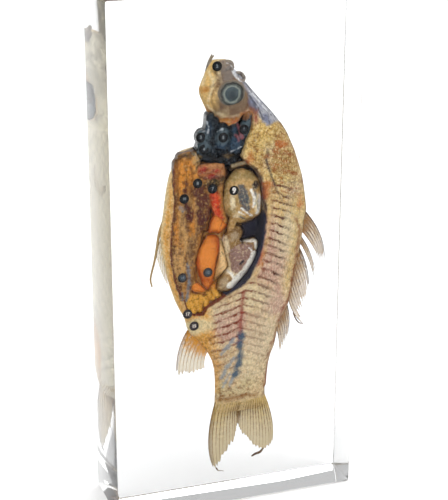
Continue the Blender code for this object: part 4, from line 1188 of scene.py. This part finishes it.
# The heart: a small red muscle below the gills, flattened and torn along its lower edge. It is one soft
# piece, worked from four strands that run together.
HEART_STRANDS = (
    (-6.8, 1.3, ((-12, 135.4), (-9.4, 135.9), (-6, 136), (-3.4, 135.6))),
    (-7.4, 1.5, ((-11.6, 133.6), (-8.6, 133.5), (-5.2, 133.8))),
    (-7.2, 1.3, ((-10, 131.6), (-6.6, 131.3), (-3.6, 132.2))),
    (-6.6, 1.1, ((-3.4, 134.8), (-2.6, 132.6), (-3.4, 130.4))),
)
HEART_STAINS = (
    coloured_area("tan", "B8804E", 0.6, 2.2, 0.9, spots=[(-3, 133.6, 2, 3), (-6.4, 136, 3.4, 0.9),
        (-9, 131, 2, 0.8)]),
    coloured_area("blood", "A5221E", 0.5, 1.8, 0.9, spots=[(-10.6, 134.8, 2, 1.1), (-7.4, 132, 1.6, 1.3),
        (-5.6, 133.8, 1.2, 0.7)]),
    coloured_area("gape", "4A1A14", 0.3, 1.0, 0.8, lines=[(0.25, (-12, 132), (-9, 131), (-5, 131.2)),
        (0.2, (-11.6, 134.4), (-8.4, 133), (-6, 134.6))], spots=[(-4.6, 131.4, 2.4, 1),
        (-9.6, 131.4, 1.6, 0.8)]),
)
heart_paint = organ_paint(
    "heart muscle", dark="6E3620", light="C07C48", pale="DCA06A", stains_and_light=HEART_STAINS,
    rough=(0.2, 0.45), wet=0.3
)
organ("heart_muscle", "heart", heart_paint, HEART_STAINS, HEART_STRANDS, relief=0.2, grain=1.2, seed=8)

# The gut, liver and fat: brown and yellow folds that run the length of the belly, with orange fat packed at
# their end. They are soft tissue laid fold on fold in the cavity.
GUT_STRANDS = (
    (-4.4, 1.5, ((-20.2, 138.4), (-20.9, 131), (-20.9, 123), (-21.7, 114), (-22.2, 106), (-21.6, 98),
        (-20.2, 91), (-18.5, 85.4))),
    (-5.3, 1.6, ((-17.6, 139.6), (-18.4, 131), (-18.5, 124), (-19.1, 116), (-19.6, 108), (-19.2, 100),
        (-18.2, 93), (-17.0, 86))),
    (-6.2, 1.5, ((-15.4, 140), (-15.8, 132), (-16, 125), (-16.6, 117), (-17, 109), (-17, 101), (-16.6, 95),
        (-16, 90))),
    (-6.9, 1.5, ((-13.4, 139.6), (-13.2, 131), (-13.5, 124), (-14.2, 116), (-14.8, 109), (-15, 103),
        (-14.8, 98))),
    (-7.2, 1.4, ((-11.2, 130.6), (-11, 124), (-11.6, 117), (-12.4, 110), (-13.2, 105.4))),
    (-7.6, 1.3, ((-8.8, 130.4), (-8.6, 124), (-9.2, 118), (-10.2, 112.4))),
    (-7.9, 1.9, ((-6.4, 129.8), (-5.9, 124), (-5.4, 119.4), (-4.6, 116))),
    (-6.4, 1.6, ((-13.4, 104), (-14.4, 98), (-15.2, 93), (-14.6, 91))),
    (-7.0, 1.3, ((-3.2, 131.2), (-3.8, 125), (-3.4, 119.4), (-2.0, 114.2))),
    (-7.6, 0.9, ((1, 135.4), (4, 135.9), (7, 136.4), (8.8, 135))),
    (-6.2, 0.7, ((-14.6, 141.6), (-13, 140.6), (-12.2, 138.4), (-12.4, 136.6))),
    (-5.0, 0.8, ((-19.6, 140.6), (-17.4, 141.2), (-15.4, 141.6))),
    (-4.6, 1.5, ((-16.6, 84.6), (-15.8, 81.8), (-14.4, 79.4))),
    (-5.2, 1.5, ((-14, 85.2), (-13, 82.6), (-11.8, 80))),
    (-5.5, 1.3, ((-11.4, 85.4), (-10.2, 83.6), (-9.4, 81.8))),
    (-5.9, 1.2, ((-8.8, 86), (-7.6, 84.6), (-6.6, 83.6))),
    (-6.6, 1.2, ((-6.6, 88.6), (-5.8, 86.2), (-4.4, 84.4))),
)
GUT_PADS = (
    (-4.4, 4.0, 2.5, ((-20.6, 136), (-14, 138.4), (-4, 136), (-1, 130), (-1, 116), (-1, 108), (1, 98),
        (-1, 88), (-8, 82), (-14, 79.6), (-18, 85), (-21.6, 98), (-22, 110), (-21, 124))),
    (-7.9, 2.5, 1.2, ((-4.0, 107), (-2.4, 103), (-1.6, 99), (-1, 96), (-3, 93.4), (-6.4, 91), (-6.2, 95),
        (-5, 99), (-4.4, 103))),
)
GUT_STAINS_AND_SHADE = (
    coloured_area("orange", "DC8E32", 1.0, 2.6, 0.9, spots=[(-18.6, 131, 2.6, 8), (-18, 135, 3.4, 5),
        (-14.6, 134, 2.4, 5), (-20.6, 113, 1, 8), (-15.4, 112, 2, 6), (-19, 104, 1.4, 7),
        (-5.8, 88, 2.4, 3)]),
    coloured_area("tan", "C89C60", 0.6, 2.0, 0.85, spots=[(-15.4, 104, 1.8, 6), (-17.4, 108, 1.2, 6),
        (-18.6, 114, 1.6, 8), (-12.4, 120, 1.4, 6), (-20, 99, 2.6, 8), (-3.4, 98, 2.6, 8),
        (-13, 138.4, 1.4, 3), (-17.6, 120, 1.2, 4)], lines=[(0.4, (-13.4, 118), (-13, 112), (-14.2, 106),
        (-13.8, 101)), (0.4, (-19.4, 112), (-18.2, 106), (-18.8, 100)), (0.3, (-16.4, 126), (-15, 121),
        (-15.6, 116))]),
    coloured_area("fat", "E0A43C", 0.8, 1.6, 0.95, spots=[(-13, 82.4, 6, 4.6), (-7, 85, 4, 2.4)]),
    coloured_area("umber", "4E2A16", 0.8, 2.2, 0.85, lines=[(0.25, (-15.4, 113), (-16.4, 106), (-16, 100)),
        (0.3, (-11.4, 121), (-12.4, 115), (-12.2, 110)), (0.2, (-18.6, 118), (-19.6, 110), (-19.4, 103)),
        (0.25, (-20.2, 138), (-20.6, 131), (-20.2, 124)), (0.3, (-17.2, 138), (-17.0, 132), (-17.4, 126)),
        (0.3, (-15, 136), (-14.8, 131)), (0.8, (-21.2, 126), (-21.8, 116)), (0.7, (-16.8, 122),
        (-16.4, 112)), (0.6, (-12.6, 112), (-14.4, 104))], spots=[(-10.4, 114, 1.6, 5), (-15, 104, 1.2, 5),
        (-8, 128.4, 2.6, 1.6)]),
    coloured_area("maroon", "4A1218", 0.7, 2.0, 0.9, spots=[(-12.4, 126.6, 3, 2.4), (-10.4, 122.6, 3, 4),
        (-11.6, 116.4, 1.8, 4.4), (-15.6, 118, 1.4, 3.4), (-8.8, 118.6, 1.6, 3)], lines=[(0.3, (-17.2, 131),
        (-17.4, 126), (-17, 121))]),
    coloured_area("scarlet", "D23C1A", 0.7, 1.6, 0.95, lines=[(1.8, (-6, 124.6), (-5.4, 120), (-4.4, 115.6))]),
    coloured_area("honey", "F2CC92", 0.8, 1.6, 0.95, lines=[(1.6, (-3.4, 106), (-2.8, 102), (-2.2, 98),
        (-2.4, 95.4))]),
    coloured_area("fascia", "8F8870", 0.4, 1.6, 0.8, lines=[(1.0, (1, 135.4), (4, 135.9), (7, 136.4), (8.8, 135)),
        (0.5, (-14.6, 141.4), (-13, 140.4), (-12.4, 138.4))]),
    coloured_area("slate", "6C7C88", 0.5, 1.4, 0.85, lines=[(0.6, (-16.8, 99), (-16.2, 94), (-16.2, 89),
        (-17.4, 84)), (0.5, (-18.4, 119.6), (-19.6, 121.6)), (0.4, (-19, 87), (-18.4, 84))]),
    coloured_area("wine", "5C1612", 0.4, 0.8, 0.9, lines=[(0.45, (-21.6, 137), (-22, 128), (-22.2, 121), (-23, 112),
        (-23.4, 104), (-22.8, 98), (-21.4, 92), (-19.6, 86.6)), (0.4, (-15.8, 89.4), (-14.6, 87),
        (-10, 85.6))]),
    # Painted shade: dark spots under the heart and where the gut meets the heart and gills
    coloured_area("shade_between_organs", "2A2A1E", 0.6, 1.8, 0.85, spots=[(-17.6, 140.6, 2.6, 0.9), (-12.8, 136.4, 0.8, 1.6),
        (-6.4, 129.6, 3.4, 1.6), (-3, 130.6, 1.4, 2)]),
)
gut_paint = organ_paint(
    "liver and gut", dark="54341A", light="B07A3C", pale="E8B868", stains_and_light=GUT_STAINS_AND_SHADE,
    wet=0.2
)
organ("liver_and_gut", "gut", gut_paint, GUT_STAINS_AND_SHADE, GUT_STRANDS, GUT_PADS, relief=0.16, grain=1.4, seed=12)

# The ovary: bright orange roe in a thin skin, cracked across near its top, with a small loose lobe at its
# end. It lies against the gut, and is worked from three pads with rolled edges.
OVARY_PADS = (
    (-8.6, 4.0, 1.4, ((-8.8, 111), (-8.2, 114), (-6.6, 117), (-4.4, 116.8), (-1.8, 113.8), (-1.5, 112.2),
        (-3.8, 109.6), (-6, 110.2), (-8.2, 109.9))),
    (-9.0, 4.4, 1.8, ((-9.4, 109.2), (-6.6, 109.4), (-4.6, 108.4), (-3.9, 106), (-4.2, 103.5), (-4.8, 100),
        (-5.4, 97), (-6, 93), (-7, 90), (-8.6, 87.6), (-9.8, 88.2), (-11.2, 90.8), (-12.6, 94), (-13.1, 97),
        (-13.4, 100), (-12.6, 103), (-11, 106))),
    (-6.4, 2.6, 1.1, ((-15.6, 90.2), (-14.2, 91.4), (-12.4, 90.6), (-10.6, 88.6), (-9.6, 87.2),
        (-11.6, 86.7), (-14, 87.2), (-15.2, 88.6))),
)
OVARY_STAINS = (
    coloured_area("glow", "F0923A", 1.2, 2.0, 0.8, spots=[(-9, 101, 3.4, 7), (-5, 113, 2.4, 2.4),
        (-12, 89.4, 2.4, 1.4)]),
    coloured_area("deep", "B8480F", 0.6, 1.8, 0.8, lines=[(0.6, (-13, 101), (-12.4, 96), (-10.6, 91)),
        (0.6, (-4.6, 108), (-4.4, 103)), (0.5, (-8.4, 112), (-6.8, 116.4))]),
    coloured_area("crack", "6A2408", 0.16, 0.5, 0.9, lines=[(0.2, (-9.4, 110.6), (-8.2, 109.8), (-6.6, 109.8),
        (-4, 109)), (0.16, (-10.2, 107.8), (-9.6, 110.8)), (0.14, (-2.8, 114.6), (-3.6, 112.4))]),
)
roe_paint = organ_paint(
    "roe", dark="B4541A", light="E08634", pale="EE9C4A", stains_and_light=OVARY_STAINS,
    mottle=0.25, rough=(0.35, 0.6), bump=0.0003, wet=0.1
)
organ("roe", "ovary", roe_paint, OVARY_STAINS, (), OVARY_PADS, relief=0.1, grain=0.9, seed=17)

# The swim bladder: two glassy chambers with a narrow neck, their thin silvery skin dried to windows and
# white folds, with highlights painted on the glassy chambers. It lies along the cavity's back wall, and is
# worked from two round pads and a strand.
BLADDER_PADS = (
    (-9.25, 5.2, 5.2, ((2.4, 134.4), (5.6, 134.2), (9, 132.6), (11.4, 129.6), (12.7, 125), (13.1, 120),
        (12.4, 116.2), (10.4, 114.4), (7, 113.2), (4.4, 112.6), (1.4, 113.6), (-1, 116), (-2.8, 119),
        (-3.2, 123), (-2.6, 127), (-0.8, 131.4))),
    (-8.6, 4.6, 4.2, ((-3.4, 107), (-2.2, 109.6), (0.4, 111.6), (3.4, 111.6), (5.0, 109.6), (4.6, 107.2),
        (5, 106), (8.4, 106.3), (10.6, 106), (11.4, 104), (11.1, 100.5), (9.8, 97), (7.7, 93.5),
        (5.3, 90.6), (2.6, 88), (0.6, 86.1), (-2, 85.7), (-4.6, 86.4), (-5.9, 88.4), (-5, 91), (-3.4, 93.4),
        (-1.4, 95.2), (-0.8, 96.4), (-1.6, 98.8), (-2.4, 102), (-3.2, 105))),
)
BLADDER_STRANDS = ((-7.2, 1.8, ((1.4, 114.4), (0.6, 112), (0.4, 110))),)
BLADDER_STAINS_AND_HIGHLIGHTS = (
    coloured_area("moss", "96814E", 0.8, 2.4, 0.8, spots=[(1.6, 131.6, 4, 2.2), (-1.6, 125, 1.2, 5),
        (8, 131.6, 3.4, 2.2), (5, 122, 5, 2), (0.4, 117.6, 2, 2)]),
    # The cream spots on the front chamber are painted highlights; the cream area on the rear chamber is its
    # pale membrane
    coloured_area("cream", "F0E2BC", 0.5, 1.4, 0.9, spots=[(1.2, 121.2, 0.9, 3), (3, 116, 1.6, 0.9),
        (11, 120, 1.2, 4)], areas=[((-3.6, 107.6), (-1.6, 108.6), (-0.6, 106), (-0.2, 103), (-0.4, 100),
        (0.6, 97), (1, 94.6), (3.4, 92.6), (1.6, 90.4), (0.4, 92.6), (-3, 93.8), (-1, 96), (-2, 99.6),
        (-2.6, 103))]),
    coloured_area("mauve", "8E6E66", 0.4, 0.8, 0.95, areas=[((0.4, 97.5), (-0.4, 100), (0.4, 102.6), (3, 104.2),
        (6.4, 104.6), (9.2, 103.6), (9.6, 101), (8.8, 98), (6.6, 95.2), (4, 93.4), (2.2, 92.6),
        (0.6, 94.4))]),
    coloured_area("smoke", "3E4A57", 0.5, 1.2, 0.9, areas=[((3.4, 127.6), (5.6, 127.8), (7, 125.4), (7.8, 121.4),
        (8.4, 117.6), (6.8, 117), (4.8, 118.4), (3.6, 121.4), (3, 124.6))], lines=[(0.45, (9.4, 127),
        (10.2, 123.4), (9.8, 119.6)), (0.3, (11.6, 121.6), (11.4, 117.6)), (0.25, (4, 115.4), (6.4, 114),
        (8.6, 114.2))]),
    coloured_area("stone", "AE9876", 0.5, 1.2, 0.85, areas=[((-4.2, 88), (-3.6, 91.4), (-1.6, 92), (0.6, 88.6),
        (1, 86.8), (-2, 86.6)), ((0.4, 106), (0.6, 109), (2.2, 110), (3.8, 108.6), (3.4, 106.8),
        (1.6, 105.6))]),
    # Partly painted highlight: white crescents and stripes on the glassy chambers, partly the skin's pale
    # folds
    coloured_area("white_folds_and_highlights", "F6F4EA", 0.25, 0.8, 1.0, lines=[(0.55, (8.6, 125.4), (9.8, 122), (9.4, 118.6)),
        (0.45, (11.9, 123), (12, 118.6), (10.8, 116)), (0.25, (4.6, 118.6), (7.8, 115.8), (9, 115.2)),
        (0.2, (3.6, 117.2), (6.4, 115.6)), (0.6, (4.8, 105.6), (8, 105.5), (10.3, 105.2), (10.8, 102)),
        (1.2, (10, 100), (8.2, 96.6), (5.8, 93), (3.6, 91)), (1.4, (3.4, 91), (1.6, 88.8), (0.4, 88.2)),
        (0.25, (7.8, 102.6), (9.2, 101)), (0.4, (-1, 94.4), (1, 92.6), (1.8, 91)), (0.35, (-2.6, 109),
        (-3.2, 106.6))]),
    coloured_area("ink", "22202C", 0.25, 0.7, 0.95, lines=[(0.3, (-2.4, 128), (-2.9, 123), (-2.4, 118.6)),
        (0.3, (-3.4, 104.6), (-2.4, 100)), (0.35, (-0.6, 132.8), (2.4, 134.6), (5.6, 134.5), (8.6, 133)),
        (0.3, (12.2, 128), (13.2, 123), (13.3, 118)), (0.5, (4.4, 106.4), (5.2, 104.9)), (0.5, (4.4, 96.4),
        (5.4, 97.4))], spots=[(10.4, 127, 1.2, 1.8)]),
)
bladder_paint = organ_paint(
    "bladder skin", dark="7A5730", light="C29C60", pale="EAD29C", stains_and_light=BLADDER_STAINS_AND_HIGHLIGHTS,
    mottle=0.55, rough=(0.06, 0.22), bump=0.0002, wet=0.3
)
organ(
    "bladder_chambers", "swim_bladder", bladder_paint, BLADDER_STAINS_AND_HIGHLIGHTS, BLADDER_STRANDS, BLADDER_PADS,
    relief=0.08, grain=1.6, seed=23
)

# The number tags: thirteen discs of black card, each laid on the part it marks and printed with a small
# number. Most numbers have gone dull in the resin, two discs have faded to grey, and three numbers are
# still pale. A tag is (x, depth, height, number, state).
TAG_RADIUS = 1.85
TAG_THICKNESS = 0.3
TAGS = (
    (-6.0, -4.3, 173.6, "2", "dark"), (-12.8, -6.6, 148.3, "3", "dark"), (-11.7, -7.0, 143.8, "4", "dark"),
    (-4.7, -9.0, 148.0, "5", "dark"), (3.4, -8.8, 150.4, "6", "dark"), (-14.2, -7.2, 131.2, "8", "dark"),
    (-19.2, -6.4, 125.6, "10", "dark"), (-8.6, -8.2, 128.8, "7", "dark"), (-0.5, -9.3, 127.6, "9", "fresh"),
    (-10.8, -9.3, 96.6, "12", "faded"), (-20.0, -5.9, 94.8, "14", "faded"),
    (-17.8, -4.2, 79.6, "17", "worn"), (-15.4, -5.0, 74.6, "15", "worn"),
)
TAG_PROFILE = (
    (0.0, -0.5), (0.55, -0.5), (0.8, -0.5), (0.94, -0.44), (1.0, -0.2), (1.0, 0.3), (0.9, 0.5), (0.0, 0.5),
)
TAG_SIDES = 48
INK_THICKNESS = 0.03
INK_SPREAD = 0.04
TWO_FIGURE_SHARE = 0.8
NUMBER_HEIGHTS = {"dark": 1.6, "fresh": 2.9, "faded": 1.6, "worn": 2.1}


def tag_paint(name, middle, ring, number):
    """Printed card: a middle and a ring, and the paint of its number."""
    made, tree, shader, place = tissue_paint(name)
    grain = clouds(place, 0.5)
    rim = sum_of(painted(tree, "rim"), span(grain, 0.3, 0.7, -0.03, 0.03))
    paint = laid_over(middle, ring, span(rim, 0.56, 0.62))
    paint = brightened(paint, span(grain, 0.25, 0.75, 0.8, 1.2))
    finished(shader, paint, span(grain, 0.3, 0.7, 0.25, 0.45), grain, 0.00005)
    ink, tree, shader, place = tissue_paint(name + " number")
    worn = laid_over(number, middle, span(clouds(place, 0.3), 0.5, 0.8, 0, 0.5))
    tree.links.new(worn, shader.inputs["Base Color"])
    return made, ink


TAG_PAINTS = {
    "dark": tag_paint("black tag card", "1B2028", "0E0F12", "868D90"),
    "fresh": tag_paint("fresh tag card", "0D0D0F", "0A0A0C", "F4F2EC"),
    "faded": tag_paint("faded tag card", "3E4B56", "3C3634", "78828A"),
    "worn": tag_paint("grey tag card", "4C4446", "352F31", "E2DACF"),
}


def printed_number(text, size):
    """The outline of a number as a thin mesh, in millimetres, that faces the front."""
    words = bpy.data.curves.new("number", "FONT")
    words.body = text
    words.size = size
    words.extrude = INK_THICKNESS
    words.offset = INK_SPREAD * size
    words.align_x = "CENTER"
    words.align_y = "CENTER"
    holder = linked("number", words)
    graph = bpy.context.evaluated_depsgraph_get()
    made = bpy.data.meshes.new_from_object(holder.evaluated_get(graph))
    bpy.data.objects.remove(holder)
    made.transform(Matrix.Rotation(math.pi / 2, 4, "X"))
    return made


profile = np.array(TAG_PROFILE)
turns = 2 * math.pi * np.arange(TAG_SIDES) / TAG_SIDES
tag_faces = ring_faces(len(profile), TAG_SIDES)
radius = profile[:, :1] * TAG_RADIUS
rim = profile[:, :1] + 0 * turns
for count, (x, y, z, text, kind) in enumerate(TAGS, 1):
    px, pz = x + radius * np.cos(turns), z + radius * np.sin(turns)
    py = y + profile[:, 1:] * TAG_THICKNESS + 0 * turns
    points = np.stack([px, py, pz], -1).reshape(-1, 3)
    tag = closed_mesh(f"number_tag_{count:02d}", points, tag_faces, {"rim": rim})
    for paint in TAG_PAINTS[kind]:
        tag.data.materials.append(paint)
    number = printed_number(text, NUMBER_HEIGHTS[kind] * (TWO_FIGURE_SHARE if len(text) > 1 else 1.0))
    number.transform(Matrix.Translation((x, y - TAG_THICKNESS / 2, z)))
    number.transform(Matrix.Scale(MM, 4))
    form = bmesh.new()
    form.from_mesh(number)
    for face in form.faces:
        face.material_index = 1
    form.from_mesh(tag.data)
    bmesh.ops.remove_doubles(form, verts=form.verts, dist=1e-7)
    form.to_mesh(tag.data)
    form.free()
    bpy.data.meshes.remove(number)
    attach(tag, "root")
    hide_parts(f"tag_{count:02d}")

# The resin block: one cast block of clear acrylic with the fish sealed in it. Its faces are polished and
# its edges eased, and it stands free on its narrow bottom face.
BLOCK = (98.0, 32.0, 200.0)
BLOCK_EDGE = 0.8
EDGE_SEGMENTS = 4
SHARP_ANGLE = math.radians(30)
RESIN_IOR = 1.49
RESIN_SHINE = 0.1
RESIN_SHINE_TINT = (0.2, 0.2, 0.2, 1.0)
RESIN_COLOUR = (0.99, 0.995, 0.995, 1.0)
RESIN_DEPTH_COLOUR = (0.5, 0.52, 0.53, 1.0)
RESIN_DENSITY = 2.6
form = bmesh.new()
bmesh.ops.create_cube(form, size=1.0)
bmesh.ops.scale(form, vec=[n * MM for n in BLOCK], verts=form.verts)
bmesh.ops.translate(form, vec=(0, 0, BLOCK[2] * MM / 2), verts=form.verts)
bmesh.ops.bevel(
    form, geom=form.edges[:], offset=BLOCK_EDGE * MM, segments=EDGE_SEGMENTS, profile=0.5, affect="EDGES",
)
block_mesh = bpy.data.meshes.new("resin_block")
form.to_mesh(block_mesh)
form.free()
block_mesh.shade_smooth()
block_mesh.set_sharp_from_angle(angle=SHARP_ANGLE)
resin_block = linked("resin_block", block_mesh)
resin = bpy.data.materials.new("clear resin")
resin.use_nodes = True
tree = resin.node_tree
shader = tree.nodes["Principled BSDF"]
for key, value in (
    ("Base Color", RESIN_COLOUR), ("IOR", RESIN_IOR), ("Specular IOR Level", RESIN_SHINE),
    ("Specular Tint", RESIN_SHINE_TINT), ("Transmission Weight", 1.0),
):
    shader.inputs[key].default_value = value
polish = clouds(place_in_mm(tree), 6.0, 4.0)
tree.links.new(span(polish, 0.4, 0.8, 0.0, 0.02), shader.inputs["Roughness"])
tint = node(
    tree, "ShaderNodeVolumeAbsorption", {"Color": RESIN_DEPTH_COLOUR, "Density": RESIN_DENSITY},
).outputs[0]
tree.links.new(tint, tree.nodes["Material Output"].inputs["Volume"])
block_mesh.materials.append(resin)
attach(resin_block, "root")
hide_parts("resin_front", "resin_back")
